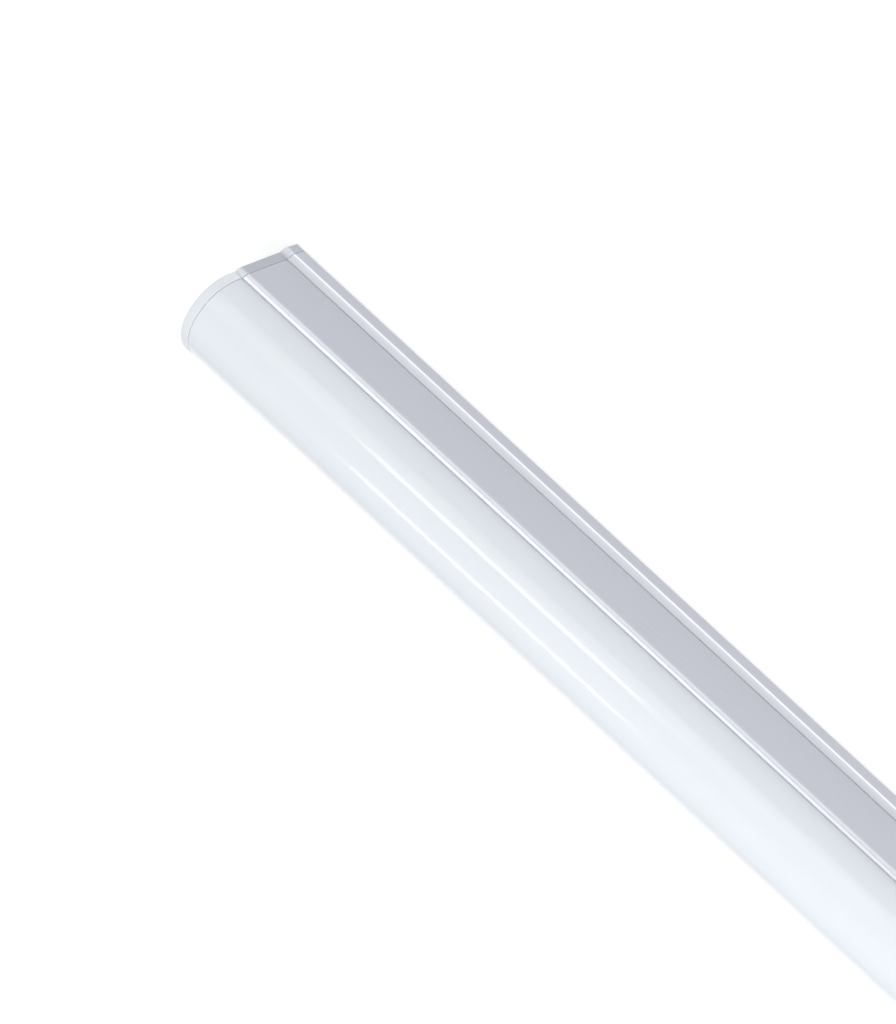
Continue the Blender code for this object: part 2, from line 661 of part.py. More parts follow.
# --- driver ---------------------------------------------------------------------------------------------
def make_driver_board():
    x = (DRIVER_X - DRIVER_LENGTH / 2, DRIVER_X + DRIVER_LENGTH / 2)
    z = (DRIVER_BOARD_Z, DRIVER_TOP)
    return box("driver_board", x, (-DRIVER_HALF, DRIVER_HALF), z, "green_board")


def make_sleeve():
    """Insulating sleeve: a thin rectangular tube, open at both ends."""
    def section(inset):
        half, low, high = SLEEVE_HALF - inset, SLEEVE_BOTTOM + inset, SLEEVE_TOP - inset
        corner = SLEEVE_ROUND - inset
        right = rounded([(0, low, 0), (half, low, corner), (half, high, corner), (0, high, 0)])
        return mirrored(right[1:-1])

    x0, x1 = DRIVER_X - SLEEVE_LENGTH / 2, DRIVER_X + SLEEVE_LENGTH / 2
    sleeve = prism("driver_sleeve", section(0.0), x0, x1, "clear_sleeve")
    return cut(sleeve, prism("sleeve_cutter", section(SLEEVE_WALL), x0 - 1, x1 + 1))


def lying_can(name, x, radius, length, material):
    """Electrolytic capacitor on its side: a can with a rolled groove near its leads."""
    z = PART_Z + radius
    groove, lip = 0.88 * radius, 0.9 * radius
    profile = [
        (0, lip),
        (0.4, radius),
        (length - 3.0, radius),
        (length - 2.6, groove),
        (length - 2.0, groove),
        (length - 1.6, radius),
        (length - 0.3, radius),
        (length, lip),
    ]
    return turned(name, profile, (x - length / 2, 0, z), "x", material)


def make_driver_parts():
    """Components from the mains side (large X) to the lamp side, by distance from the centre."""
    x = DRIVER_X
    fuse_z = PART_Z + 1.5
    turned(
        "fuse_resistor",
        [(-4, 0.8), (-3.6, 1.5), (-2.4, 1.5), (-2.0, 1.3), (2.0, 1.3), (2.4, 1.5), (3.6, 1.5), (4, 0.8)],
        (x + 53, -3.0, fuse_z),
        "x",
        "resistor_body",
        sides=16,
    )
    box("suppression_capacitor", (x + 33, x + 46), (-3.2, 3.2), (PART_Z, PART_Z + ROOM), "yellow_film", 0.4)
    choke_x = x + 23
    core_profile = [(0, 4.6), (1.4, 4.6), (1.4, 2.0), (7.0, 2.0), (7.0, 4.6), (8.4, 4.6)]
    turned("input_choke_core", core_profile, (choke_x, 0, PART_Z), "z", "ferrite")
    winding = [(1.4 + FIT, 4.1), (7.0 - FIT, 4.1)], [(1.4 + FIT, 2.0 + FIT), (7.0 - FIT, 2.0 + FIT)]
    ring_solid("input_choke_winding", *winding, (choke_x, 0, PART_Z), "z", "copper_winding")
    box("bridge_rectifier", (x + 8, x + 14), (-2.4, 2.4), (PART_Z, PART_Z + 2.6), "black_plastic", 0.3)
    lying_can("bulk_capacitor", x - 4, 4.4, 18.0, "capacitor_sleeve")
    box("control_chip", (x - 22, x - 17), (-1.95, 1.95), (PART_Z, PART_Z + 1.5), "black_plastic", 0.2)
    make_transformer(x - 34)
    box("output_diode", (x - 51, x - 46), (-1.4, 1.4), (PART_Z, PART_Z + 2.2), "black_plastic", 0.2)
    can = [(0, 3.4), (0.4, 3.6), (1.6, 3.6), (1.9, 3.2), (2.3, 3.2), (2.6, 3.6), (8.6, 3.6), (9.0, 3.3)]
    turned("output_capacitor", can, (x - 58, 0, PART_Z), "z", "capacitor_sleeve")


def make_transformer(x):
    """Ferrite frame lying flat, with a winding round its middle leg that also carries it."""
    half_x, half_y, yoke = CORE_HALF_X, CORE_HALF_Y, CORE_YOKE
    low = PART_Z + WINDING + FIT
    high = low + CORE_HEIGHT
    core = box("transformer_core", (x - half_x, x + half_x), (-half_y, half_y), (low, high), "ferrite")
    room_x = (x - half_x + yoke, x + half_x - yoke)
    for side in (-1, 1):
        room_y = (side * CORE_LEG, side * (half_y - yoke))
        cut(core, box(f"core_window_cutter_{side + 1}", room_x, room_y, (low - 1, high + 1)))
    x0, x1 = room_x[0] + FIT, room_x[1] - FIT
    outer_y, inner_y = half_y - yoke - FIT, CORE_LEG + FIT
    winding = box(
        "transformer_winding",
        (x0, x1),
        (-outer_y, outer_y),
        (PART_Z, high + FIT + WINDING),
        "copper_winding",
        bevel=0.6,
    )
    return cut(winding, box("leg_cutter", (x0 - 1, x1 + 1), (-inner_y, inner_y), (low - FIT, high + FIT)))


# --- wiring ---------------------------------------------------------------------------------------------
def smooth_run(points, steps=4):
    """A curve through the points that runs at each one in the direction of its two neighbours.

    A stretch longer than STRAIGHT stays straight."""
    knots = [Vector(p) for p in points]
    before, after = [knots[0]] + knots[:-1], knots[1:] + [knots[-1]]
    ways = [(b - a).normalized() for a, b in zip(before, after)]
    run = [knots[0]]
    for a, b, way_a, way_b in zip(knots, knots[1:], ways, ways[1:]):
        length = (b - a).length
        count = 1 if length > STRAIGHT else steps
        for i in range(1, count + 1):
            t = i / count
            s = 1 - t
            along = s * s * (1 + 2 * t) * a + t * t * (1 + 2 * s) * b
            run.append(along + length * s * t * (s * way_a - t * way_b))
    return run


def wire(name, points, diameter, material):
    """An insulated wire: a round curve with closed ends."""
    data = bpy.data.curves.new(name, "CURVE")
    data.dimensions = "3D"
    data.bevel_depth = diameter / 2 * MM
    data.bevel_resolution = 1
    data.use_fill_caps = True
    spline = data.splines.new("POLY")
    spline.points.add(len(points) - 1)
    for slot, point in zip(spline.points, points):
        slot.co = (*(MM * c for c in point), 1.0)
    return link(name, data, material)


def make_through_wires():
    """Live, earth and neutral from one socket to the other, under the driver."""
    start = PIN_TAIL - FIT
    for (i, role), material in zip(PIN_ROLES, ("brown_wire", "earth_wire", "blue_wire")):
        y = i * PIN_PITCH
        right = [
            (start, y, SOCKET_Z),
            (start - 2.5, y, SOCKET_Z - 0.3),
            (start - 6.5, y, (SOCKET_Z + WIRE_Z) / 2),
            (start - 10.5, y, WIRE_Z + 0.3),
            (start - 14.0, y, WIRE_Z),
        ]
        left = [(-x, y, z) for x, y, z in reversed(right)]
        wire(f"through_wire_{role}", smooth_run(right + left), MAINS_WIRE, material)


def make_driver_wires():
    """Live and neutral from the inlet pins to the driver board."""
    lift = PIN_RADIUS + FIT + DRIVER_WIRE / 2
    board_end = DRIVER_X + DRIVER_LENGTH / 2
    pad_z = DRIVER_TOP + FIT + DRIVER_WIRE / 2
    for i, role, material in ((1, "live", "brown_wire"), (-1, "neutral", "blue_wire")):
        y = i * PIN_PITCH
        points = [
            (PIN_TAIL + 4.0, y, SOCKET_Z + lift),
            (PIN_TAIL, y, SOCKET_Z + lift),
            (PIN_TAIL - 5, 0.9 * y, SOCKET_Z + lift + 0.2),
            (board_end + 4, 1.1 * y, pad_z + 1.4),
            (board_end, 1.2 * y, pad_z + 0.2),
            (board_end - 5, 1.2 * y, pad_z),
        ]
        wire(f"driver_wire_{role}", smooth_run(points), DRIVER_WIRE, material)


def make_earth_bond_wire():
    """From the lug's tail to the earth pin, passing behind the inlet socket."""
    tail_end = BODY_END + FIT - LUG_TAIL
    low = SOCKET_Z - PORT_RADIUS - FIT - DRIVER_WIRE / 2  # just clear of the screw port
    under_pin = SOCKET_Z - PIN_RADIUS - FIT - DRIVER_WIRE / 2
    behind = PIN_TAIL + 2.0
    points = [
        (tail_end - FIT, -PORT_Y, low),
        (tail_end - 3, -PORT_Y, low),
        (behind + 2.5, -PORT_Y + 1.2, low + 0.4),
        (behind, -PORT_Y + 4.5, low + 1.0),
        (behind, -2.5, under_pin),
        (behind, 0.8, under_pin),
    ]
    return wire("earth_bond_wire", smooth_run(points), DRIVER_WIRE, "earth_wire")


def make_output_wires():
    """From the driver up through the grommet to a pad on each side of it."""
    start = DRIVER_X - DRIVER_LENGTH / 2
    pad_z = DRIVER_TOP + FIT + OUTPUT_WIRE / 2
    top = BOARD_TOP + FIT + OUTPUT_WIRE / 2
    spread = OUTPUT_WIRE / 2 + TIGHT
    for side, role, material in ((1, "positive", "red_wire"), (-1, "negative", "black_wire")):
        x = GROMMET_X + side * spread
        y = GROMMET_Y - side * 0.4
        points = [
            (start + 5, y - side, pad_z),
            (start, y - side, pad_z),
            (start - 6, y - side, pad_z + 0.8),
            (x + 3.0, y - 0.5 * side, pad_z + 4.0),
            (x, GROMMET_Y, pad_z + 7.5),
            (x, GROMMET_Y, BOARD_Z),
            (x + 0.2 * side, GROMMET_Y, BOARD_TOP + 0.4),
            (x + 1.6 * side, GROMMET_Y, top + 1.0),
            (x + 3.6 * side, GROMMET_Y, top + 0.3),
            (x + 6.0 * side, GROMMET_Y, top),
        ]
        wire(f"output_wire_{role}", smooth_run(points), OUTPUT_WIRE, material)


def make_grommet():
    """Rubber ring that guards the wires where they pass through the web."""
    low, high = BAY_TOP - FIT, SLOT_Z + FIT
    outer = [
        (low - GROMMET_LIP, GROMMET_FLANGE),
        (low, GROMMET_FLANGE),
        (low, GROMMET_WAIST),
        (high, GROMMET_WAIST),
        (high, GROMMET_FLANGE),
        (high + GROMMET_LIP, GROMMET_FLANGE),
    ]
    inner = [(low - GROMMET_LIP, GROMMET_HOLE), (high + GROMMET_LIP, GROMMET_HOLE)]
    return ring_solid("wire_grommet", outer, inner, (GROMMET_X, GROMMET_Y, 0), "z", "grey_rubber")


# --- assembly -------------------------------------------------------------------------------------------
def main():
    clear_scene()
    make_materials()
    make_back()
    make_cover()
    make_light_board()
    make_led_string()
    cap = make_cap()
    copy_turned("end_cap_left", cap)
    for screw in make_screws("cap_right"):
        copy_turned(screw.name.replace("right", "left"), screw)
    inlet = make_socket("inlet_socket")
    copy_turned("outlet_socket", inlet)
    make_pins("inlet", 1)
    make_pins("outlet", -1)
    make_blanking_plug()
    make_earth_lug()
    make_driver_board()
    make_sleeve()
    make_driver_parts()
    make_through_wires()
    make_driver_wires()
    make_earth_bond_wire()
    make_output_wires()
    make_grommet()


main()
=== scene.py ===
# %% [markdown]
# # An LED light tube, unlit, on a light table
#
# The lamp is a batten: an aluminium back with the driver inside, a half-round opal cover, and a white cap at
# each end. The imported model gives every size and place. This lesson dresses it: it models the shells anew
# with finer edges, and gives each piece a finish that the renderer computes.

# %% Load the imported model
import json
import math

import bmesh
import bpy
from mathutils import Matrix, Quaternion, Vector


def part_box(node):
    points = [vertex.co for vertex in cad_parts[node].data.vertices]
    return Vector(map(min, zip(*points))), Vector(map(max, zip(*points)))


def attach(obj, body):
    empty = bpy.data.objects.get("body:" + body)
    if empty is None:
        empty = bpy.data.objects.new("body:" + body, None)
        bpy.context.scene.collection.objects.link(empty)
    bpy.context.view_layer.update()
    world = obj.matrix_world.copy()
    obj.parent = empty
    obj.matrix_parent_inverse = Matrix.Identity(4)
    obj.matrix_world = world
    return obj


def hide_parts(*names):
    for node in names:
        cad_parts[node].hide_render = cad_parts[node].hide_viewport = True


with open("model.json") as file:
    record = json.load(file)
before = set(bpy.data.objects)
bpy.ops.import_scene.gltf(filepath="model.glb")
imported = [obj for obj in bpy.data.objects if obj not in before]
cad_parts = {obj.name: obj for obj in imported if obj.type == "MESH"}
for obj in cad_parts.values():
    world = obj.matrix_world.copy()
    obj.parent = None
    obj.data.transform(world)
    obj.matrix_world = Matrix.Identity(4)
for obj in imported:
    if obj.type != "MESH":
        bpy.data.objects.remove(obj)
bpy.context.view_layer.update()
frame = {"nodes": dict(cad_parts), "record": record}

MM = 0.001

# %% [markdown]
# ## Sizes
#
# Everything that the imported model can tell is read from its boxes, in millimetres. A box's corner gives the
# cover's radius, the place of the joints at the ends and the height of the dome's centre. What a box can't
# tell, such as the depth of a groove, is a named value beside the piece that needs it.

# %% Read the sizes
def span(node, axis):
    """Low and high end of a CAD node along an axis (0, 1 or 2), in millimetres."""
    low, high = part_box(node)
    return low[axis] / MM, high[axis] / MM


TUBE_END = span("end_cap_right", 0)[1]
BODY_END = span("diffuser_cover", 0)[1]
GAP = 0.3
CAP_START = BODY_END + GAP
RADIUS = span("diffuser_cover", 1)[1]
DOME_Z = span("diffuser_cover", 2)[1] - RADIUS
COVER_FOOT = span("diffuser_cover", 2)[0]
LEDGE_Z = COVER_FOOT - GAP
PANEL_HALF = RADIUS + 0.8
LIP_HALF = RADIUS + 1.75
FOOT_HALF = RADIUS + 1.35
SOCKET_Z = sum(span("inlet_socket", 2)) / 2
SCREW_Y = sum(span("cap_right_screw_front", 1)) / 2
print(f"tube {2 * TUBE_END:.0f} mm long, cover radius {RADIUS:.1f} mm, dome centre at {DOME_Z:.1f} mm")

# %% [markdown]
# ## Camera
#
# The lamp is seen from above and from beside its far end, with the camera rolled, so that the tube runs
# down across the picture and out of it. A very long lens from far away keeps the edges nearly parallel, as
# a packshot does. The distance follows from the lens and from how much of the scene the picture's long
# side has to show. The camera sees as far as the light table reaches.

# %% Place the camera
AZIMUTH = -37.9  # degrees, as are the next two
ELEVATION = 38.64
ROLL = -111.32
LENS = 1000.0  # mm
PICTURE = 268.5  # mm along the picture's long side
HALF_TABLE = 25.0  # m
AIM = Vector((BODY_END - 67.7, 24.7, DOME_Z - 27.9)) * MM


def towards(azimuth, elevation):
    """Unit vector from the lamp towards a viewer or a light at these angles, in degrees."""
    a, e = math.radians(azimuth), math.radians(elevation)
    return Vector((math.sin(a) * math.cos(e), -math.cos(a) * math.cos(e), math.sin(e)))


camera = bpy.data.objects.new("camera", bpy.data.cameras.new("camera"))
bpy.context.scene.collection.objects.link(camera)
bpy.context.scene.camera = camera
camera.data.lens = LENS
away = PICTURE * MM * LENS / camera.data.sensor_width
back = towards(AZIMUTH, ELEVATION)
camera.location = AIM + back * away
camera.rotation_mode = "QUATERNION"
camera.rotation_quaternion = back.to_track_quat("Z", "Y") @ Quaternion((0, 0, 1), math.radians(ROLL))
camera.data.clip_end = 4 * HALF_TABLE
print(f"camera {away:.2f} m from the lamp")

# %% [markdown]
# ## Stage and light
#
# A packshot on white needs a floor that is as bright as its surroundings. A light table does that: the floor
# is white and glows a little, so the lamp's shadow stays faint. The world is a plain white surround that
# fills every side. Below the horizon it is as bright as the table, so that the table seems to have no edge.
#
# Nodes are added with one helper, here and in every tree that follows: it takes the node's settings, and its
# inputs as values or as sockets of other nodes.

# %% Surround the lamp
SURROUND = 0.40
BELOW = 0.90
COOL_WHITE = (0.975, 0.985, 1.0, 1.0)


def feed(tree, socket, value):
    """Sets an input socket, or links it to another node's output."""
    if isinstance(value, bpy.types.NodeSocket):
        tree.links.new(value, socket)
    else:
        socket.default_value = value


def add(tree, kind, settings=None, **plugs):
    """Adds a node. Each plug feeds the input of that name."""
    node = tree.nodes.new(kind)
    for label, value in (settings or {}).items():
        setattr(node, label, value)
    for label, value in plugs.items():
        feed(tree, node.inputs[label.replace("_", " ")], value)
    return node


def calculate(tree, operation, first, second=0.0):
    """Adds a Math node, and returns its output."""
    node = add(tree, "ShaderNodeMath", {"operation": operation})
    feed(tree, node.inputs[0], first)
    feed(tree, node.inputs[1], second)
    return node.outputs[0]


scene = bpy.context.scene
scene.view_settings.view_transform = "Standard"
world = bpy.data.worlds.new("surround")
scene.world = world
world.use_nodes = True
tree = world.node_tree
direction = add(tree, "ShaderNodeTexCoord")
parts = add(tree, "ShaderNodeSeparateXYZ", Vector=direction.outputs["Generated"])
below = calculate(tree, "LESS_THAN", parts.outputs["Z"])
strength = add(tree, "ShaderNodeMapRange", Value=below, To_Min=SURROUND, To_Max=BELOW)
background = tree.nodes["Background"]
background.inputs["Color"].default_value = COOL_WHITE
tree.links.new(strength.outputs["Result"], background.inputs["Strength"])
print("surround at", SURROUND, "above the horizon and", BELOW, "below")

# %% Build the light table
TABLE_GLOW = 0.68
TABLE_GREY = (0.46, 0.46, 0.46)


def plain_material(name, colour, roughness):
    """A Principled material and its shader."""
    made = bpy.data.materials.new(name)
    made.use_nodes = True
    shader = made.node_tree.nodes["Principled BSDF"]
    shader.inputs["Base Color"].default_value = (*colour, 1.0)
    shader.inputs["Roughness"].default_value = roughness
    return made, shader


def new_object(name, mesh, *materials):
    """Links a mesh as an object at the origin."""
    obj = bpy.data.objects.new(name, mesh)
    scene.collection.objects.link(obj)
    for made in materials:
        mesh.materials.append(made)
    return obj


table_white, shader = plain_material("light_table", TABLE_GREY, 0.6)
shader.inputs["Emission Color"].default_value = (1.0, 1.0, 1.0, 1.0)
shader.inputs["Emission Strength"].default_value = TABLE_GLOW
bm = bmesh.new()
bmesh.ops.create_grid(bm, x_segments=8, y_segments=8, size=HALF_TABLE)
mesh = bpy.data.meshes.new("light_table")
bm.to_mesh(mesh)
bm.free()
table = new_object("light_table", mesh, table_white)
print("light table", 2 * HALF_TABLE, "m square")

# %% [markdown]
# Four soft lamps shape the light. A large one overhead leans towards the camera's end: it makes tops brighter
# than sides, and the near end brighter than the far end. A panel stands where the rounded edges of the metal
# mirror it. Two small lamps give the cover its two fine bright lines: a thin cylinder squeezes a lamp's
# mirror image into a streak.

# %% Hang the lamps
def soft_lamp(name, azimuth, elevation, distance, size, watts, at=(0.0, 0.0, 0.0)):
    """Rectangular area lamp in a direction from a point, facing that point.

    size is its length, laid along the lamp as far as it can be, and its width."""
    data = bpy.data.lights.new(name, "AREA")
    data.shape = "RECTANGLE"
    data.size, data.size_y = size
    data.energy = watts
    lamp = bpy.data.objects.new(name, data)
    scene.collection.objects.link(lamp)
    out = towards(azimuth, elevation)
    along = (Vector((1, 0, 0)) - out * out.x).normalized()
    turn = Matrix((along, out.cross(along), out)).transposed()
    lamp.matrix_world = Matrix.Translation(Vector(at) + out * distance) @ turn.to_4x4()
    lamp.visible_camera = False
    return lamp


STREAK_AT = (0.166, 0.0, DOME_Z * MM)
STREAK_SIZE = (0.11, 0.17)
soft_lamp("overhead", -90, 76, 1.1, (1.0, 1.0), 9.7)
soft_lamp("edge_panel", 35, 27, 2.0, (0.7, 1.2), 2.5, (0.18, 0.0, 0.02))
soft_lamp("streak_low", 37.9, 38.64, 1.3, STREAK_SIZE, 0.36, STREAK_AT)
soft_lamp("streak_high", 117.1, 57.3, 1.3, STREAK_SIZE, 0.36, STREAK_AT)

# %% [markdown]
# ## Finishes
#
# A single flat colour looks like paint in a drawing. Real surfaces vary a little: plastic has a faint cloud
# and a fine grain, drawn metal has lines along the draw. One helper makes that from a noise pattern on
# object coordinates. Stretching the pattern along the tube turns clouds into draw lines. The noise moves the
# colour between two close shades, shifts the roughness, and raises a tiny relief. Plain values such as the
# coat sit on the shader's own sockets.

# %% Make the finish helper
def mixed(tree, share, first, second):
    """Adds a colour mix, and returns its output."""
    node = add(tree, "ShaderNodeMix", {"data_type": "RGBA"}, Factor=share, A=first, B=second)
    return node.outputs["Result"]


def finish(name, shades, roughness, grain, relief=0.0, metallic=0.0, **fixed):
    """Material with a noise pattern.

    shades and roughness are pairs for the pattern's lows and highs, grain is the pattern's repeats per metre
    along X, Y and Z, or one number for all three, and relief is the height of its bumps in metres."""
    made, shader = plain_material(name, shades[0], roughness[0])
    tree = made.node_tree
    repeats = grain if isinstance(grain, tuple) else (grain, grain, grain)
    where = add(tree, "ShaderNodeTexCoord")
    stretch = add(tree, "ShaderNodeMapping", Vector=where.outputs["Object"], Scale=repeats)
    noise = add(tree, "ShaderNodeTexNoise", Vector=stretch.outputs["Vector"], Scale=1.0, Detail=3.0)
    amount = noise.outputs["Fac"]
    colour = mixed(tree, amount, (*shades[0], 1.0), (*shades[1], 1.0))
    tree.links.new(colour, shader.inputs["Base Color"])
    ramp = add(tree, "ShaderNodeMapRange", Value=amount, To_Min=roughness[0], To_Max=roughness[1])
    tree.links.new(ramp.outputs["Result"], shader.inputs["Roughness"])
    if relief:
        bump = add(tree, "ShaderNodeBump", Strength=1.0, Distance=relief, Height=amount)
        tree.links.new(bump.outputs["Normal"], shader.inputs["Normal"])
    shader.inputs["Metallic"].default_value = metallic
    for label, value in fixed.items():
        shader.inputs[label.replace("_", " ")].default_value = value
    return made


def recoloured(made, share, colour):
    """Mixes a colour, or another node's colour, into a finish by a share."""
    tree = made.node_tree
    base = tree.nodes["Principled BSDF"].inputs["Base Color"]
    tree.links.new(mixed(tree, share, base.links[0].from_socket, colour), base)
    return made


# %% [markdown]
# Some finishes also change with height. The crests of the metal's lip and shoulder carry a painted highlight:
# a lighter colour where they would catch the light. The skirt of the cover carries painted shade:
# it is darker towards its foot. A colour ramp over the height gives the share of the second colour. The skirt
# of the cover looks darker, because the metal rail behind it shows
# through the milky plastic. A colour ramp over the height gives the share of the second colour.

# %% Shade by height
def place_of(made):
    """The object coordinates that a finish is drawn on."""
    return next(n for n in made.node_tree.nodes if n.bl_idname == "ShaderNodeTexCoord").outputs["Object"]


def shaded_by_height(made, colour, amounts, sides_only=False):
    """Mixes a colour into a finish by height, as painted shade or a painted highlight.

    amounts are pairs (height in millimetres, share, 0 to 1). With sides_only, only faces that look sideways
    get the colour."""
    tree = made.node_tree
    top = amounts[-1][0]
    parts = add(tree, "ShaderNodeSeparateXYZ", Vector=place_of(made))
    height = add(tree, "ShaderNodeMapRange", Value=parts.outputs["Z"], From_Max=top * MM)
    ramp = add(tree, "ShaderNodeValToRGB", Fac=height.outputs["Result"])
    stops = ramp.color_ramp.elements
    for end in (0, -1):
        stops[end].color = (*[amounts[end][1]] * 3, 1.0)
    for z, amount in amounts[1:-1]:
        stops.new(z / top).color = (*[amount] * 3, 1.0)
    share = ramp.outputs["Color"]
    if sides_only:
        face = add(tree, "ShaderNodeNewGeometry")
        facing = add(tree, "ShaderNodeSeparateXYZ", Vector=face.outputs["Normal"])
        share = calculate(tree, "MULTIPLY", share, calculate(tree, "ABSOLUTE", facing.outputs["Y"]))
    return recoloured(made, share, (*colour, 1.0))


# %% [markdown]
# The aluminium is drawn through a die and anodised: satin, a little lilac, with fine lines along its length.
# The opal cover is smooth and milky, with a clear gloss on top. The caps are moulded in white plastic, and
# their flat sides carry painted shade: a light grey as dark as the metal's panel beside them.

# %% Mix the main finishes
ALONG = (4.0, 2600.0, 2600.0)
GRAIN = 4000.0
CLOUD = 700.0
GRIT = 5000.0
# Colour of the painted highlight on the metal's crests.
METAL_PAINTED_HIGHLIGHT = (0.925, 0.94, 1.0)
# Colour of the painted shade on the cover's skirt.
OPAL_PAINTED_SHADE = (0.68, 0.725, 0.785)
# Colour of the painted shade on the caps' flat sides.
CAP_SIDE_PAINTED_SHADE = (0.50, 0.525, 0.57)
# Heights and shares of the painted highlight on the crests of the lip and the shoulder.
LIP_PAINTED_HIGHLIGHT = [(0.0, 0.1), (3.9, 0.1), (4.2, 1.0), (5.2, 1.0), (5.6, 0.9), (6.3, 0.85), (6.6, 0.2), (7.4, 0.0)]
SHOULDER_PAINTED_HIGHLIGHT = [(19.9, 0.0), (20.5, 0.3), (21.1, 0.95), (21.7, 1.0), (22.1, 0.75), (22.4, 0.55)]
# Heights and shares of the painted shade on the cover's skirt, darker towards the foot.
SKIRT_PAINTED_SHADE = [(0.0, 1.0), (23.0, 1.0), (24.15, 0.65), (25.5, 0.42), (27.2, 0.28), (29.5, 0.12), (32.0, 0.0)]
# Heights and shares of the painted shade on the caps' sides, by the lip and by the panel.
CAP_LIP_PAINTED_SHADE = [(0.0, 0.9), (3.9, 0.9), (4.4, 0.0), (5.4, 0.1), (6.25, 0.4)]
CAP_PANEL_PAINTED_SHADE = [(6.65, 1.0), (20.0, 1.0), (20.9, 0.3), (21.6, 0.0)]


def white(name):
    """White moulded plastic."""
    return finish(name, ((0.83, 0.865, 0.905), (0.86, 0.895, 0.935)), (0.34, 0.46), GRAIN, 0.000003)


aluminium = finish(
    "anodised_aluminium", ((0.47, 0.48, 0.53), (0.515, 0.525, 0.58)), (0.30, 0.38), ALONG, 0.0000012, 1.0
)
# Painted highlight: the crests of the lip and the shoulder are lighter where they would catch the light.
shaded_by_height(aluminium, METAL_PAINTED_HIGHLIGHT, LIP_PAINTED_HIGHLIGHT + SHOULDER_PAINTED_HIGHLIGHT)
opal = finish(
    "opal_cover",
    ((0.835, 0.875, 0.92), (0.86, 0.90, 0.945)),
    (0.30, 0.38),
    (14.0, 60.0, 60.0),
    Specular_IOR_Level=0.2,
    Coat_Weight=0.6,
    Coat_Roughness=0.05,
)
# Painted shade: the cover is darker towards its foot.
shaded_by_height(opal, OPAL_PAINTED_SHADE, SKIRT_PAINTED_SHADE)
white_plastic = white("white_plastic")
# Painted shade: the caps' sideways faces are grey beside the lip and the panel.
cap_plastic_painted_shade = shaded_by_height(white("cap_plastic_painted_shade"), CAP_SIDE_PAINTED_SHADE, CAP_LIP_PAINTED_SHADE + CAP_PANEL_PAINTED_SHADE, sides_only=True)
print("metal, opal cover, white plastic and cap plastic mixed")

# %% [markdown]
# The other finishes are for small and inner pieces. Each line gives two shades, two roughnesses, the grain,
# the relief and whether it is a metal. The earth wire is special: it has yellow and green stripes.

# %% Mix the other finishes
finishes = {"anodised_aluminium": aluminium, "opal_cover": opal, "white_plastic": white_plastic}
for name, *look in (
    ("zinc_steel", ((0.60, 0.60, 0.62), (0.72, 0.72, 0.73)), (0.22, 0.36), CLOUD, 0.0, 1.0),
    ("brass", ((0.74, 0.53, 0.22), (0.82, 0.62, 0.30)), (0.22, 0.34), CLOUD, 0.0, 1.0),
    ("black_plastic", ((0.03, 0.03, 0.032), (0.05, 0.05, 0.053)), (0.4, 0.5), GRIT, 0.000004),
    ("white_board", ((0.84, 0.84, 0.82), (0.88, 0.88, 0.86)), (0.4, 0.5), CLOUD, 0.000002),
    ("green_board", ((0.03, 0.18, 0.07), (0.05, 0.25, 0.10)), (0.3, 0.42), CLOUD, 0.000004),
    ("clear_sleeve", ((0.70, 0.73, 0.76), (0.78, 0.80, 0.83)), (0.2, 0.3), CLOUD),
    ("ferrite", ((0.045, 0.045, 0.05), (0.08, 0.08, 0.085)), (0.5, 0.7), GRIT, 0.00001),
    ("copper_winding", ((0.50, 0.19, 0.07), (0.62, 0.27, 0.11)), (0.25, 0.35), CLOUD, 0.0, 1.0),
    ("yellow_film", ((0.76, 0.52, 0.05), (0.82, 0.60, 0.09)), (0.3, 0.4), GRIT, 0.000004),
    ("capacitor_sleeve", ((0.02, 0.03, 0.10), (0.03, 0.045, 0.13)), (0.25, 0.35), CLOUD),
    ("resistor_body", ((0.14, 0.30, 0.19), (0.20, 0.38, 0.25)), (0.45, 0.6), GRIT, 0.00001),
    ("led_phosphor", ((0.82, 0.62, 0.12), (0.88, 0.70, 0.20)), (0.4, 0.5), GRIT),
    ("brown_wire", ((0.12, 0.045, 0.02), (0.16, 0.06, 0.03)), (0.35, 0.45), CLOUD),
    ("blue_wire", ((0.02, 0.10, 0.38), (0.03, 0.14, 0.46)), (0.35, 0.45), CLOUD),
    ("red_wire", ((0.44, 0.02, 0.02), (0.55, 0.04, 0.03)), (0.35, 0.45), CLOUD),
    ("black_wire", ((0.02, 0.02, 0.02), (0.04, 0.04, 0.04)), (0.35, 0.45), CLOUD),
    ("earth_wire", ((0.10, 0.36, 0.04), (0.14, 0.42, 0.06)), (0.35, 0.45), CLOUD),
    ("grey_rubber", ((0.12, 0.12, 0.125), (0.18, 0.18, 0.185)), (0.6, 0.75), GRIT, 0.000006),
):
    finishes[name] = finish(name, *look)
enamelled = finishes["copper_winding"].node_tree.nodes["Principled BSDF"]
enamelled.inputs["Coat Weight"].default_value = 0.5


def striped(made, colour, repeats):
    """Stripes of a second colour along a wire, by the side of its axis that a point is on."""
    tree = made.node_tree
    wave = add(tree, "ShaderNodeTexWave", {"bands_direction": "Z"}, Vector=place_of(made), Scale=repeats)
    return recoloured(made, wave.outputs["Fac"], (*colour, 1.0))


striped(finishes["earth_wire"], (0.80, 0.66, 0.05), 160.0)
print(len(finishes), "finishes")

# %% [markdown]
# ## Outlines
#
# The back, the cover and the caps are all one section drawn along the tube. A section is a list of corners,
# each with a radius. The helper replaces a corner by an arc and adds a point just before and after it: the
# narrow strip between them keeps the shading of the flat beside it flat.

# %% Draw outlines
HOLD = 0.04


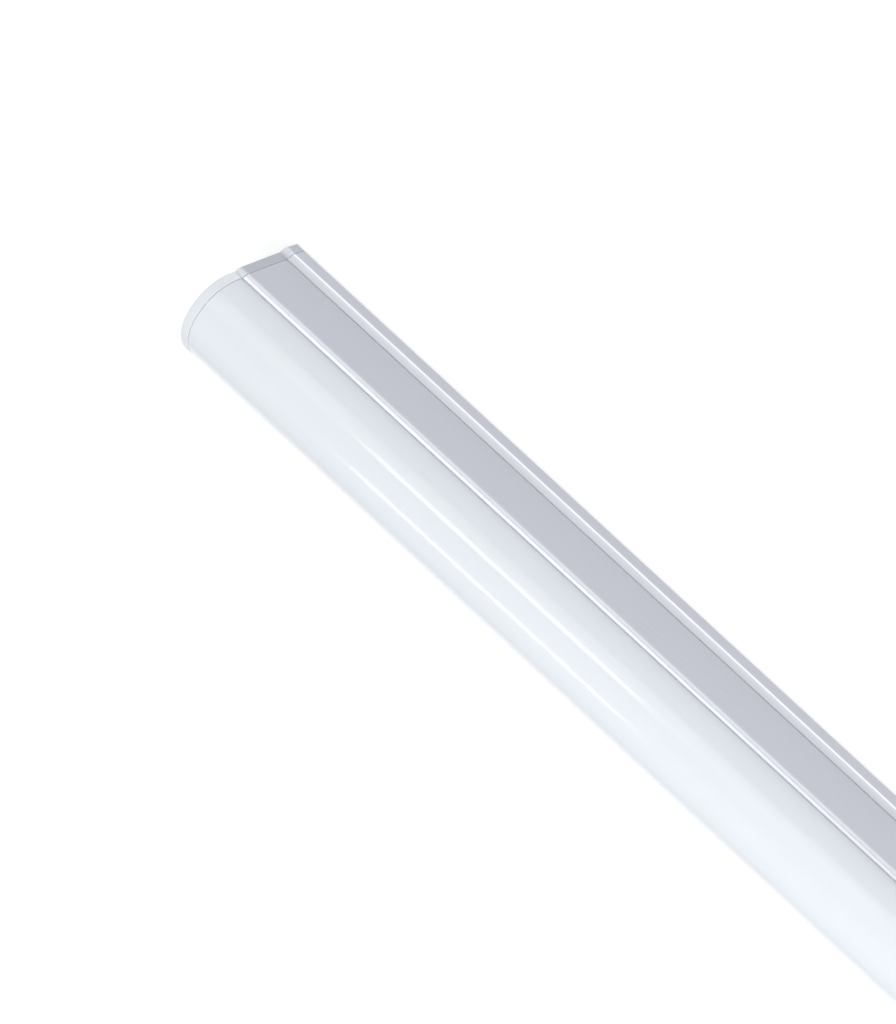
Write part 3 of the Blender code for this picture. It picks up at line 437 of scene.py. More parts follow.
def rounded(corners):
    """Outline through corners (y, z, radius). A larger radius gets more points."""
    points = []
    for i, (y, z, radius) in enumerate(corners):
        here = Vector((y, z))
        if not radius:
            points.append(here)
            continue
        before = (Vector(corners[i - 1][:2]) - here).normalized()
        after = (Vector(corners[(i + 1) % len(corners)][:2]) - here).normalized()
        half = before.angle(after) / 2
        reach = radius / math.tan(half)
        centre = here + (before + after).normalized() * (radius / math.sin(half))
        first = (here + before * reach - centre).normalized()
        last = (here + after * reach - centre).normalized()
        count = 3 + round(6 * math.sqrt(radius))
        points.append(here + before * (reach + HOLD))
        points += [centre + radius * first.slerp(last, k / count) for k in range(count + 1)]
        points.append(here + after * (reach + HOLD))
    return points


def arc(centre, radius, start, end, step=3.0):
    """Corners without radius on an arc, from one angle to another in degrees."""
    count = math.ceil(abs(end - start) / step)
    angles = [math.radians(start + (end - start) * k / count) for k in range(count + 1)]
    return [(centre[0] + radius * math.cos(a), centre[1] + radius * math.sin(a), 0) for a in angles]


def both_sides(corners):
    """The corners of the +Y side, and the same mirrored."""
    return corners + [(-y, z, radius) for y, z, radius in reversed(corners)]


LIP_Z = 4.6
GROOVE_Z = 6.6
GROOVE_DEPTH = 0.2


def flank(grow=0.0):
    """Corners of the outside of the back on the +Y side, from the foot to the ledge."""
    foot = max(0.0, -grow)
    return [
        (FOOT_HALF + grow, foot, 0.95),
        (LIP_HALF + grow, LIP_Z, 0.6),
        (PANEL_HALF + grow, GROOVE_Z, 0.15),
        (PANEL_HALF - GROOVE_DEPTH + grow, GROOVE_Z + 0.1, 0.06),
        (PANEL_HALF - GROOVE_DEPTH + grow, GROOVE_Z + 0.6, 0.06),
        (PANEL_HALF + grow, GROOVE_Z + 0.7, 0.1),
        (PANEL_HALF + grow, LEDGE_Z - 0.9, 2.3),
        (RADIUS - 0.3 + grow, LEDGE_Z, 0.12),
    ]


print(len(rounded(both_sides(flank()))), "points in the outline of the back")

# %% [markdown]
# ## The aluminium back
#
# A die pushes this section out in one piece: a flat foot, a lip for the clips, a fine groove, the side panel,
# a rounded shoulder, and on top the rails for the cover and for the light board. Inside is the driver bay
# with its two screw ports. A flat curve suits a section with a hole: Blender fills between the two loops
# and extrudes them together.

# %% Make the extruding helpers
def clean(mesh, angle=32.0):
    """Merges doubles, turns all faces outwards and shades round parts smooth."""
    bm = bmesh.new()
    bm.from_mesh(mesh)
    bmesh.ops.remove_doubles(bm, verts=bm.verts, dist=1e-7)
    bmesh.ops.recalc_face_normals(bm, faces=bm.faces)
    bm.to_mesh(mesh)
    bm.free()
    mesh.shade_smooth()
    mesh.set_sharp_from_angle(angle=math.radians(angle))
    return mesh


def evaluated_mesh(obj):
    """The finished mesh of an object with its curve settings or modifiers, as a plain mesh."""
    bpy.context.view_layer.update()
    seen = obj.evaluated_get(bpy.context.evaluated_depsgraph_get())
    return bpy.data.meshes.new_from_object(seen)


def loop_curve(name, loops):
    """Flat curve object with a closed polyline for each loop of (y, z), drawn in its own XY plane."""
    data = bpy.data.curves.new(name, "CURVE")
    data.dimensions = "2D"
    for loop in loops:
        spline = data.splines.new("POLY")
        spline.points.add(len(loop) - 1)
        for slot, (y, z) in zip(spline.points, loop):
            slot.co = (y * MM, z * MM, 0.0, 1.0)
        spline.use_cyclic_u = True
    obj = bpy.data.objects.new(name, data)
    scene.collection.objects.link(obj)
    return obj


def extruded(name, loops, x0, x1, *materials):
    """Loops of (y, z) filled and extruded from x0 to x1; an inner loop is a hole."""
    drawing = loop_curve(name + "_drawing", loops)
    drawing.data.fill_mode = "BOTH"
    drawing.data.extrude = (x1 - x0) / 2 * MM
    mesh = evaluated_mesh(drawing)
    bpy.data.objects.remove(drawing)
    middle = (x0 + x1) / 2 * MM
    mesh.transform(Matrix(((0, 0, 1, middle), (1, 0, 0, 0), (0, 1, 0, 0), (0, 0, 0, 1))))
    mesh.name = name
    mesh.materials.clear()
    return new_object(name, clean(mesh), *materials)


# %% Extrude the back
WALL = 1.3
FLOOR = 1.4
WEB_TOP = LEDGE_Z - 1.4
WEB = 1.2
PORT_HOLE = 1.1
PORT_WALL = 0.8
PORT_SLOT = 0.45


def rail_corners():
    """The rail that the cover hooks over, with the lip that holds the light board."""
    outer, inner = RADIUS - 2.1, RADIUS - 3.1
    hook, top = COVER_FOOT + 1.2, COVER_FOOT + 2.1
    low, high = LEDGE_Z + 0.4, LEDGE_Z + 1.1
    return [
        (outer, LEDGE_Z, 0),
        (outer, hook, 0),
        (outer + 0.6, hook, 0),
        (outer + 0.6, top, 0),
        (inner, top, 0),
        (inner, high, 0),
        (inner - 0.8, high, 0),
        (inner - 0.8, low, 0),
        (inner, low, 0),
        (inner, WEB_TOP, 0),
    ]


def bay_corners():
    """The driver bay on the +Y side, round the slotted screw port on the wall."""
    half, ceiling, port = PANEL_HALF - WALL, WEB_TOP - WEB, PORT_HOLE + PORT_WALL
    at_wall = math.degrees(math.acos((half - SCREW_Y) / port))
    outside = math.degrees(math.asin(PORT_SLOT / port))
    inside = math.degrees(math.asin(PORT_SLOT / PORT_HOLE))
    centre = (SCREW_Y, SOCKET_Z)
    return (
        [(half, FLOOR, 0.8)]
        + arc(centre, port, -at_wall, outside - 180, 12)
        + arc(centre, PORT_HOLE, 180 + inside, 540 - inside, 12)
        + arc(centre, port, 180 - outside, at_wall, 12)
        + [(half, ceiling, 0.8)]
    )


section = rounded(both_sides(flank() + rail_corners()))
bay = rounded(both_sides(bay_corners()))
back_shell = extruded("back_shell", [section, bay], -BODY_END, BODY_END, aluminium)
print(len(back_shell.data.polygons), "faces in the back")

# %% [markdown]
# A piece is handed over in two calls: it rides on the body, and the CAD nodes that it replaces are hidden.

# %% Hand a piece over
def hand_over(piece, slot, *nodes):
    """Fixes a finished piece to the lamp in place of CAD nodes."""
    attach(piece, "root")
    if nodes:
        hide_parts(*nodes)
    return piece


hand_over(back_shell, "anodised_aluminium", "base_extrusion")
print(back_shell.name, "handed over")

# %% [markdown]
# ## The opal cover, with Geometry Nodes
#
# The cover is a rule more than a shape: one half-round section, with a small hook along each edge, swept
# from end to end. Geometry Nodes state that rule directly: a line as long as the cover, the drawn section as
# its profile, and a material. The inputs are set by their sockets' identifiers, the result becomes a plain
# mesh, and the modifier goes.

# %% Make the node helpers
def new_tree(name, *inputs):
    """Geometry Nodes tree with named inputs (label, socket type, default)."""
    tree = bpy.data.node_groups.new(name, "GeometryNodeTree")
    tree.interface.new_socket("Geometry", in_out="INPUT", socket_type="NodeSocketGeometry")
    for label, kind, value in inputs:
        socket = tree.interface.new_socket(label, in_out="INPUT", socket_type=kind)
        if value is not None:
            socket.default_value = value
    tree.interface.new_socket("Geometry", in_out="OUTPUT", socket_type="NodeSocketGeometry")
    return tree, tree.nodes.new("NodeGroupInput"), tree.nodes.new("NodeGroupOutput")


def close_tree(tree, ends, geometry, material):
    """The last three nodes of every tree: realize, set the material, and out."""
    solid = add(tree, "GeometryNodeRealizeInstances", Geometry=geometry)
    dressed = add(tree, "GeometryNodeSetMaterial", Geometry=solid.outputs[0], Material=material)
    tree.links.new(dressed.outputs[0], ends.inputs[0])


def grown(name, base, tree, values, angle=32.0):
    """Runs a tree on an object with its inputs set, and returns the result as a plain object."""
    modifier = base.modifiers.new("tree", "NODES")
    modifier.node_group = tree
    for item in tree.interface.items_tree:
        if item.in_out == "INPUT" and item.name in values:
            modifier[item.identifier] = values[item.name]
    mesh = evaluated_mesh(base)
    mesh.name = name
    bpy.data.objects.remove(base)
    return new_object(name, clean(mesh, angle))


# %% Sweep the cover
COVER_WALL = 1.2
SKIRT_TURN = 0.8
HOOK = 0.9
FOOT_GAP = 0.2


def cover_loop():
    """Section of the cover: outside over the dome, and back along the inside."""
    skirt, inner = DOME_Z - SKIRT_TURN, RADIUS - COVER_WALL
    tip, foot = RADIUS - 1.8, LEDGE_Z + FOOT_GAP
    outside = [(RADIUS - 0.2, foot, 0.08), (RADIUS, foot + 0.25, 0.1), (RADIUS, skirt, 0)]
    inside = [(tip, foot, 0), (tip, COVER_FOOT + HOOK, 0), (inner, COVER_FOOT + HOOK, 0)]
    over = arc((0, DOME_Z), RADIUS, 0, 180)
    under = arc((0, DOME_Z), inner, 180, 0, 6)
    left = [(-y, z, radius) for y, z, radius in reversed(outside)]
    inside_left = [(-y, z, radius) for y, z, radius in inside]
    return rounded(outside + over + left + inside_left + under + inside[::-1])


tree, given, ends = new_tree(
    "sweep_section",
    ("Length", "NodeSocketFloat", 1.0),
    ("Material", "NodeSocketMaterial", None),
)
half = calculate(tree, "MULTIPLY", given.outputs["Length"], 0.5)
start = add(tree, "ShaderNodeCombineXYZ", X=calculate(tree, "MULTIPLY", half, -1.0))
stop = add(tree, "ShaderNodeCombineXYZ", X=half)
line = add(tree, "GeometryNodeCurvePrimitiveLine", Start=start.outputs[0], End=stop.outputs[0])
upright = add(tree, "GeometryNodeSetCurveTilt", Curve=line.outputs[0], Tilt=math.pi)
swept = add(
    tree, "GeometryNodeCurveToMesh", Curve=upright.outputs[0], Profile_Curve=given.outputs[0], Fill_Caps=True
)
close_tree(tree, ends, swept.outputs[0], given.outputs["Material"])

cover = grown(
    "cover_shell",
    loop_curve("cover_section", [cover_loop()]),
    tree,
    {"Length": 2 * BODY_END * MM, "Material": opal},
)
low, high = cover.bound_box[0], cover.bound_box[6]
print("cover from Z", round(low[2] / MM, 2), "to", round(high[2] / MM, 2), "mm")
hand_over(cover, "opal_cover", "diffuser_cover")

# %% [markdown]
# ## The end caps
#
# Each cap is one moulding with the same outline as the lamp behind it, a fraction proud. Its outer edge is
# rounded, as a mould leaves it. A loft through a few outlines makes that body, and cutters take out the
# socket window, the seat of the socket's plate, the counterbores of the two screws, and a shallow mark where
# the mould's gate was. One cap is made, and later turned half round for the other end.

# %% Make solids and cut them
def loft(name, rings, *materials):
    """Closed solid through rings of (x, y, z) points in millimetres, with flat ends."""
    bm = bmesh.new()
    rows = [[bm.verts.new([c * MM for c in point]) for point in ring] for ring in rings]
    for a, b in zip(rows, rows[1:]):
        for i in range(len(a)):
            bm.faces.new((a[i - 1], a[i], b[i], b[i - 1]))
    bm.faces.new(rows[0])
    bm.faces.new(rows[-1])
    mesh = bpy.data.meshes.new(name)
    bm.to_mesh(mesh)
    bm.free()
    return new_object(name, clean(mesh), *materials)


def stacked(loop_of, steps):
    """Rings for a loft, from pairs (x, size) and a function that draws the loop of a size."""
    return [[(x, y, z) for y, z in loop_of(size)] for x, size in steps]


def prism(name, loop, x0, x1):
    """A loop of (y, z) between two places along the tube."""
    return loft(name, [[(x, y, z) for y, z in loop] for x in (x0, x1)])


def turned(name, profile, y, z, *materials, sides=40):
    """Solid of revolution about a line along X through (y, z), from pairs (x, radius)."""
    angles = [math.tau * k / sides for k in range(sides)]
    rings = [[(x, y + r * math.cos(a), z + r * math.sin(a)) for a in angles] for x, r in profile]
    return loft(name, rings, *materials)


def cut(piece, *cutters):
    """Takes the cutters out of a piece, and removes them."""
    for cutter in cutters:
        modifier = piece.modifiers.new("cut", "BOOLEAN")
        modifier.operation = "DIFFERENCE"
        modifier.solver = "EXACT"
        modifier.object = cutter
    mesh = evaluated_mesh(piece)
    piece.modifiers.clear()
    for cutter in cutters:
        bpy.data.objects.remove(cutter)
    piece.data = clean(mesh)
    return piece


def turned_round(piece, name):
    """A copy of a piece for the other end, half a turn about Z."""
    mesh = piece.data.copy()
    mesh.transform(Matrix.Rotation(math.pi, 4, "Z"))
    return new_object(name, mesh)


def keyed(half_y, half_z, key, corner=0.35):
    """Box section round the socket's axis with its two upper corners cut off."""
    return rounded(
        [
            (half_y, SOCKET_Z - half_z, corner),
            (half_y, SOCKET_Z + half_z - key, corner),
            (half_y - key, SOCKET_Z + half_z, corner),
            (key - half_y, SOCKET_Z + half_z, corner),
            (-half_y, SOCKET_Z + half_z - key, corner),
            (-half_y, SOCKET_Z - half_z, corner),
        ]
    )


# %% Mould the caps
PROUD = 0.15
EDGE_ROUND = 0.5
JOINT_CHAMFER = 0.12
KEY = 1.8
SEAT_DEPTH = 1.4
HEAD_DEPTH = 1.8
SCREW_HOLE = 1.3
COUNTERBORE = 2.2
TAG_RADIUS = 2.6
TAG_TAIL = 1.5
GATE_DEPTH = 0.12
PLATE_HALF_Y = span("blanking_plug", 1)[1]
PLATE_HALF_Z = (span("blanking_plug", 2)[1] - span("blanking_plug", 2)[0]) / 2
SOCKET_HALF_Y = span("inlet_socket", 1)[1]
SOCKET_HALF_Z = span("inlet_socket", 2)[1] - SOCKET_Z


def cap_loop(grow):
    """Outline of the whole lamp, grown sideways and upwards by a distance."""
    joint = [(RADIUS - 0.6 + grow, LEDGE_Z + 0.25, 0.06), (RADIUS + grow, LEDGE_Z + 0.5, 0.12)]
    dome = arc((0, DOME_Z), RADIUS + grow, 0, 180)
    half = flank(grow) + joint
    return rounded(half + dome + [(-y, z, radius) for y, z, radius in reversed(half)])


def edge_round(x, size, steps=6):
    """Pairs (x, shrink) along a quarter round that ends at x."""
    turns = [math.pi / 2 * k / steps for k in range(steps + 1)]
    return [(x - size + size * math.sin(a), size - size * math.cos(a)) for a in turns]


def plate_loop(grow, corner):
    """Outline of a socket's plate, grown by a distance."""
    y, z = PLATE_HALF_Y + grow, PLATE_HALF_Z + grow
    places = [(y, -z), (y, z), (-y, z), (-y, -z)]
    return rounded([(a, SOCKET_Z + b, corner) for a, b in places])


def plate_seat():
    """Cutter for the rounded seat of a socket's plate, with a lead-in at the face."""
    steps = ((TUBE_END - SEAT_DEPTH, GAP), (TUBE_END - 0.2, GAP), (TUBE_END + 0.2, GAP + 0.4))
    return loft("seat_cutter", stacked(lambda grow: plate_loop(grow, 1.5), steps))


def screw_bore(side):
    """Cutter for a cap screw: a clearance hole and a counterbore with a broken edge."""
    face = TUBE_END - HEAD_DEPTH
    profile = [(CAP_START - 8, SCREW_HOLE), (face, SCREW_HOLE), (face, COUNTERBORE)]
    profile += [(TUBE_END - 0.2, COUNTERBORE), (TUBE_END + 0.2, COUNTERBORE + 0.4)]
    return turned("bore_cutter", profile, side * SCREW_Y, SOCKET_Z)


def lug_pocket():
    """Cutter for the earth tag behind the cap, with room for its tail."""
    x0, x1 = CAP_START - 1, CAP_START + 1
    left, right, low = -TAG_TAIL - SCREW_Y, TAG_TAIL - SCREW_Y, SOCKET_Z - 3.2
    ring = turned("lug_cutter", [(x0, TAG_RADIUS), (x1, TAG_RADIUS)], -SCREW_Y, SOCKET_Z)
    loop = [(right, low), (right, SOCKET_Z), (left, SOCKET_Z), (left, low)]
    return ring, prism("tail_cutter", loop, x0, x1)


def gate_mark():
    """Cutter for the shallow mark that the mould's gate leaves."""
    return turned("gate_cutter", [(TUBE_END - GATE_DEPTH, 1.1), (TUBE_END + 1, 1.2)], 0, DOME_Z + 5)


def cap_body():
    """The cap before its holes: a joint's chamfer, the side, and the rounded front edge."""
    steps = [(CAP_START - JOINT_CHAMFER, PROUD - JOINT_CHAMFER), (CAP_START, PROUD)]
    steps += [(x, PROUD - shrink) for x, shrink in edge_round(TUBE_END, EDGE_ROUND)]
    return loft("cap_shell_right", stacked(cap_loop, steps), cap_plastic_painted_shade)


window_loop = keyed(SOCKET_HALF_Y + GAP, SOCKET_HALF_Z + GAP, KEY)
window = prism("window_cutter", window_loop, CAP_START - 8, TUBE_END + 1)
cap = cut(cap_body(), window, plate_seat(), gate_mark(), screw_bore(1), screw_bore(-1), *lug_pocket())
print(len(cap.data.polygons), "faces in a cap")

# %% [markdown]
# Behind its plate a cap has a collar round the socket, which keys into the driver bay, and a rib that holds
# the cover round. They are hidden once the lamp is closed, so they are separate simple solids.

# %% Add collar and rib
def with_others(piece, *others):
    """Joins closed solids into a piece's mesh without merging them."""
    bm = bmesh.new()
    for obj in (piece, *others):
        bm.from_mesh(obj.data)
    bm.to_mesh(piece.data)
    bm.free()
    for obj in others:
        bpy.data.objects.remove(obj)
    return piece


def collar():
    """Sleeve between the screw ports, with the window through it."""
    outside = keyed(SCREW_Y - 2.2, SOCKET_HALF_Z + 1.5, KEY)
    solid = prism("collar", outside, CAP_START - 6, CAP_START + 0.05)
    inside = keyed(SOCKET_HALF_Y + GAP, SOCKET_HALF_Z + GAP, KEY)
    return cut(solid, prism("collar_cutter", inside, CAP_START - 8, CAP_START + 1))


def rib():
    """Half ring just inside the cover."""
    outer = RADIUS - 1.5
    loop = arc((0, DOME_Z), outer, 12, 168) + arc((0, DOME_Z), outer - 1.2, 168, 12)
    return prism("rib", [(y, z) for y, z, _ in loop], CAP_START - 4, CAP_START + 0.05)


with_others(cap, collar(), rib())
other_cap = turned_round(cap, "cap_shell_left")
hand_over(cap, "white_plastic", "end_cap_right")
hand_over(other_cap, "white_plastic", "end_cap_left")
print(len(cap.data.polygons), "faces in a cap with its collar and rib")

# %% [markdown]
# ## Sockets, pins and the blanking plug
#
# The socket is a deep keyed well with three brass pins, so that a lead or the next lamp goes in one way up.
# Its mouth has a lead-in. At the other end the same socket is closed with a plate whose skirt grips inside
# the well, and a short groove lets a fingernail lift it out.

# %% Make the sockets
black_plastic, brass = finishes["black_plastic"], finishes["brass"]
FRONT = span("inlet_socket", 0)[1]
REAR = span("inlet_socket", 0)[0]
WELL_Y = 6.0
WELL_Z = 3.6
WELL_FLOOR = FRONT - 9.0
PIN_HOLE = 0.9
PIN_PITCH = 4.0


def socket():
    """Moulded body with its well and three pin holes."""
    def shell_loop(grow):
        return keyed(SOCKET_HALF_Y + grow, SOCKET_HALF_Z + grow, KEY)

    def well_loop(grow):
        return keyed(WELL_Y + grow, WELL_Z + grow, KEY)

    shell = [(REAR, 0.0), (FRONT - 0.3, 0.0), (FRONT, -0.25)]
    depths = [(WELL_FLOOR, 0.0), (FRONT - 0.35, 0.0), (FRONT + 0.2, 0.4)]
    body = loft("socket_right", stacked(shell_loop, shell), black_plastic)
    well = loft("well_cutter", stacked(well_loop, depths))
    hole = [(REAR - 1, PIN_HOLE), (WELL_FLOOR + 1, PIN_HOLE)]
    holes = [turned("hole_cutter", hole, y, SOCKET_Z) for y in (-PIN_PITCH, 0, PIN_PITCH)]
    return cut(body, *holes, well)


def pin(name, node):
    """Turned pin with a rounded nose, in the place of a CAD pin at the right-hand end."""
    tail, nose = span(node, 0)
    low, high = span(node, 1)
    radius = (high - low) / 2
    profile = [(tail, radius - 0.1), (tail + 0.1, radius)]
    profile += [(x, radius - shrink) for x, shrink in edge_round(nose, 0.62)]
    return turned(name, profile, (low + high) / 2, SOCKET_Z, brass, sides=32)


right_socket = hand_over(socket(), "black_plastic", "inlet_socket")
hand_over(turned_round(right_socket, "socket_left"), "black_plastic", "outlet_socket")
for role in ("live", "earth", "neutral"):
    right_pin = hand_over(pin("pin_right_" + role, "inlet_pin_" + role), "brass", "inlet_pin_" + role)
    hand_over(turned_round(right_pin, "pin_left_" + role), "brass", "outlet_pin_" + role)
PIN_TIP = span("inlet_pin_live", 0)[1]
print(f"well {FRONT - WELL_FLOOR:.1f} mm deep, pins {TUBE_END - PIN_TIP:.1f} mm behind the cap's face")

# %% Make the blanking plug
PLATE = 1.1
NAIL_GROOVE = 0.6


def blanking_plug():
    """Plate with a rounded edge and a hollow skirt, made at the right-hand end."""
    steps = [(TUBE_END - PLATE, 0.0)] + edge_round(TUBE_END, 0.25, 4)
    made = loft("blanking_cap", stacked(lambda inset: plate_loop(-inset, 1.2), steps), white_plastic)
    low = SOCKET_Z + SOCKET_HALF_Z + NAIL_GROOVE
    high = low + NAIL_GROOVE
    nail_loop = [(-3, low), (3, low), (3, high), (-3, high)]
    cut(made, prism("nail_cutter", nail_loop, TUBE_END - NAIL_GROOVE, TUBE_END + 1))
    skirt_end = PIN_TIP + GAP
    skirt = prism("skirt", keyed(WELL_Y - GAP, WELL_Z - GAP, KEY), skirt_end, TUBE_END - PLATE + 0.05)
    hollow = keyed(WELL_Y - 1.2, WELL_Z - 1.2, KEY - 0.45)
    return with_others(made, cut(skirt, prism("hollow_cutter", hollow, skirt_end - 1, TUBE_END - 1.3)))


plug = blanking_plug()
plug.data.transform(Matrix.Rotation(math.pi, 4, "Z"))
hand_over(plug, "white_plastic", "blanking_plug")
print(len(plug.data.polygons), "faces in the plug")

# %% [markdown]
# ## The cap screws, with Geometry Nodes
#
# Four equal self-tapping screws hold the caps. The blank, a pan head with a cross recess on a pointed shank,
# is turned once. The tree winds the thread round it as a helix, puts a copy at each corner of a grid whose
# sides are the distances between the ports, faces it outwards, and turns it about its own axis by a seeded
# random angle, because no two screws end at the same angle.

# %% Turn the blank
HEAD = 1.5
HEAD_RADIUS = 1.9
PAN = ((-0.75, 1.0), (-0.45, 0.96), (-0.2, 0.85), (-0.05, 0.68), (0.0, 0.5))
CORE = 0.8
SHANK_LENGTH = 12.0


def screw_blank():
    """Screw without its thread, with the top of its head at the origin and its point along -X."""
    shank = [(-HEAD - SHANK_LENGTH, 0.1), (-HEAD - SHANK_LENGTH + 1.6, CORE), (-HEAD, CORE)]
    head = [(-HEAD, HEAD_RADIUS - 0.05), (0.05 - HEAD, HEAD_RADIUS)]
    head += [(x, share * HEAD_RADIUS) for x, share in PAN]
    blank = turned("screw_blank", shank + head, 0, 0)
    for y, z in ((1.0, 0.24), (0.24, 1.0)):
        floor, top = [
            [(x, a, b) for a, b in ((width, z), (-width, z), (-width, -z), (width, -z))]
            for x, width in ((-0.9, 0.6 * y), (0.1, y))
        ]
        cut(blank, loft("recess_cutter", [floor, top]))
    return blank


blank = screw_blank()
print(len(blank.data.polygons), "faces in a blank")

# %% Write the screws' tree
THREAD_START = HEAD + 0.2
RIDGE = 0.24

tree, given, ends = new_tree(
    "cap_screws",
    ("Across", "NodeSocketFloat", 1.0),
    ("Between ports", "NodeSocketFloat", 1.0),
    ("Thread radius", "NodeSocketFloat", 0.001),
    ("Thread length", "NodeSocketFloat", 0.01),
    ("Turns", "NodeSocketFloat", 10.0),
    ("Seed", "NodeSocketInt", 4),
    ("Material", "NodeSocketMaterial", None),
)
helix = add(
    tree,
    "GeometryNodeCurveSpiral",
    Resolution=14,
    Rotations=given.outputs["Turns"],
    Start_Radius=given.outputs["Thread radius"],
    End_Radius=given.outputs["Thread radius"],
    Height=given.outputs["Thread length"],
)
laid = add(tree, "GeometryNodeTransform", Geometry=helix.outputs[0], Rotation=(0.0, -math.pi / 2, 0.0))
below_head = (-THREAD_START * MM, 0.0, 0.0)
under = add(tree, "GeometryNodeTransform", Geometry=laid.outputs[0], Translation=below_head)
ridge = add(tree, "GeometryNodeCurvePrimitiveCircle", Resolution=3, Radius=RIDGE * MM)
thread = add(
    tree, "GeometryNodeCurveToMesh", Curve=under.outputs[0], Profile_Curve=ridge.outputs[0], Fill_Caps=True
)
whole = add(tree, "GeometryNodeJoinGeometry")
tree.links.new(thread.outputs[0], whole.inputs[0])
tree.links.new(given.outputs["Geometry"], whole.inputs[0])
corners = add(
    tree,
    "GeometryNodeMeshGrid",
    Size_X=given.outputs["Across"],
    Size_Y=given.outputs["Between ports"],
    Vertices_X=2,
    Vertices_Y=2,
)
place = add(tree, "GeometryNodeInputPosition")
parts = add(tree, "ShaderNodeSeparateXYZ", Vector=place.outputs[0])
behind = calculate(tree, "LESS_THAN", parts.outputs["X"])
facing = calculate(tree, "MULTIPLY", behind, math.pi)
spin = add(tree, "FunctionNodeRandomValue", Seed=given.outputs["Seed"])
angle = calculate(tree, "MULTIPLY", spin.outputs["Value"], math.pi / 2)
turn = add(tree, "ShaderNodeCombineXYZ", X=angle, Z=facing)
set_in = add(
    tree,
    "GeometryNodeInstanceOnPoints",
    Points=corners.outputs[0],
    Instance=whole.outputs[0],
    Rotation=turn.outputs[0],
)
close_tree(tree, ends, set_in.outputs[0], given.outputs["Material"])
print(len(tree.nodes), "nodes in the tree")

# %% Drive the screws in
HEAD_TOP = span("cap_right_screw_front", 0)[1]
screws = grown(
    "cap_screws",
    blank,
    tree,
    {
        "Across": 2 * HEAD_TOP * MM,
        "Between ports": 2 * SCREW_Y * MM,
        "Thread radius": CORE * MM,
        "Thread length": (SHANK_LENGTH - 1.8) * MM,
        "Turns": 11.0,
        "Seed": 4,
        "Material": finishes["zinc_steel"],
    },
)
screws.data.transform(Matrix.Translation((0, 0, SOCKET_Z * MM)))
hand_over(
    screws,
    "zinc_steel",
    "cap_right_screw_front",
    "cap_right_screw_back",
    "cap_left_screw_front",
    "cap_left_screw_back",
)
print(len(screws.data.polygons), "faces in four screws")

# %% [markdown]
# ## The row of LEDs, with Geometry Nodes
#
# Under the cover a row of small packages lights the opal plastic from inside. A package is a white case with
# a sloped well, filled with yellow phosphor, and it stands on two tinned pads. The three kinds of parts have
# three finishes, so the same tree runs three times: it repeats a shape along the lamp, at a pitch.

# %% Make the LEDs
LED_COUNT = 38
LED_LENGTH = 3.5
BOARD_TOP = span("led_board", 2)[1] + 0.1
LED_TOP = span("led_string", 2)[1]
LED_HALF = span("led_string", 1)[1]
TRACK_TOP = BOARD_TOP + 0.2
LED_PITCH = (2 * span("led_string", 0)[1] - 2 * LED_LENGTH) / (LED_COUNT - 1)


def block(name, half_x, half_y, low, high, draft=0.0):
    """Block with slightly drawn-in sides at the middle of the lamp."""
    sizes = ((low, 0.0), (high - 0.05, draft), (high, draft + 0.05))
    rings = []
    for z, inset in sizes:
        x, y = half_x - inset, half_y - inset
        rings.append([(x, -y, z), (x, y, z), (-x, y, z), (-x, -y, z)])
    return loft(name, rings)


tree, given, ends = new_tree(
    "repeat_along",
    ("Count", "NodeSocketInt", 2),
    ("Pitch", "NodeSocketFloat", 0.01),
    ("Material", "NodeSocketMaterial", None),
)
gaps = calculate(tree, "SUBTRACT", given.outputs["Count"], 1.0)
reach = calculate(tree, "MULTIPLY", gaps, given.outputs["Pitch"])
start = add(tree, "ShaderNodeCombineXYZ", X=calculate(tree, "MULTIPLY", reach, -0.5))
step = add(tree, "ShaderNodeCombineXYZ", X=given.outputs["Pitch"])
row = add(
    tree,
    "GeometryNodeMeshLine",
    Count=given.outputs["Count"],
    Start_Location=start.outputs[0],
    Offset=step.outputs[0],
)
copies = add(tree, "GeometryNodeInstanceOnPoints", Points=row.outputs[0], Instance=given.outputs["Geometry"])
close_tree(tree, ends, copies.outputs[0], given.outputs["Material"])

case = block("led_case", LED_LENGTH / 2, LED_HALF, TRACK_TOP, LED_TOP, 0.05)
cut(case, block("well_cutter", LED_LENGTH / 2 - 0.45, LED_HALF - 0.4, LED_TOP - 0.35, LED_TOP + 0.3, -0.15))
window = block("led_window", LED_LENGTH / 2 - 0.42, LED_HALF - 0.37, LED_TOP - 0.34, LED_TOP - 0.08, -0.05)
track = block("led_track", LED_PITCH / 2, LED_HALF - 0.6, BOARD_TOP, TRACK_TOP - 0.04)
pad = block("led_pad", LED_LENGTH / 2 + 0.35, LED_HALF - 0.15, BOARD_TOP, TRACK_TOP)
tin = finishes["zinc_steel"]
runs = (
    ("led_cases", case, white_plastic, "white_plastic"),
    ("led_windows", window, finishes["led_phosphor"], "led_phosphor"),
    ("led_pads", with_others(track, pad), tin, "zinc_steel"),
)
for name, base, material, slot in runs:
    values = {"Count": LED_COUNT, "Pitch": LED_PITCH * MM, "Material": material}
    hand_over(grown(name, base, tree, values), slot, "led_string")
print(LED_COUNT, "LEDs,", round(LED_PITCH, 2), "mm apart")

# %% [markdown]
# ## Windings, with Geometry Nodes
#
# The transformer and the choke of the driver are wound with enamelled wire. One turn in each layer is drawn
# as a closed loop. The tree gives the loops the thickness of the wire and repeats them along the core, which
# is how a winding machine lays the turns.

# %% Wind the coils
def drawn_loops(name, loops):
    """Mesh of closed loops of (x, y, z) edges."""
    bm = bmesh.new()
    for loop in loops:
        verts = [bm.verts.new([c * MM for c in point]) for point in loop]
        for a, b in zip(verts, verts[1:] + verts[:1]):
            bm.edges.new((a, b))
    mesh = bpy.data.meshes.new(name)
    bm.to_mesh(mesh)
    bm.free()
    return new_object(name, mesh)


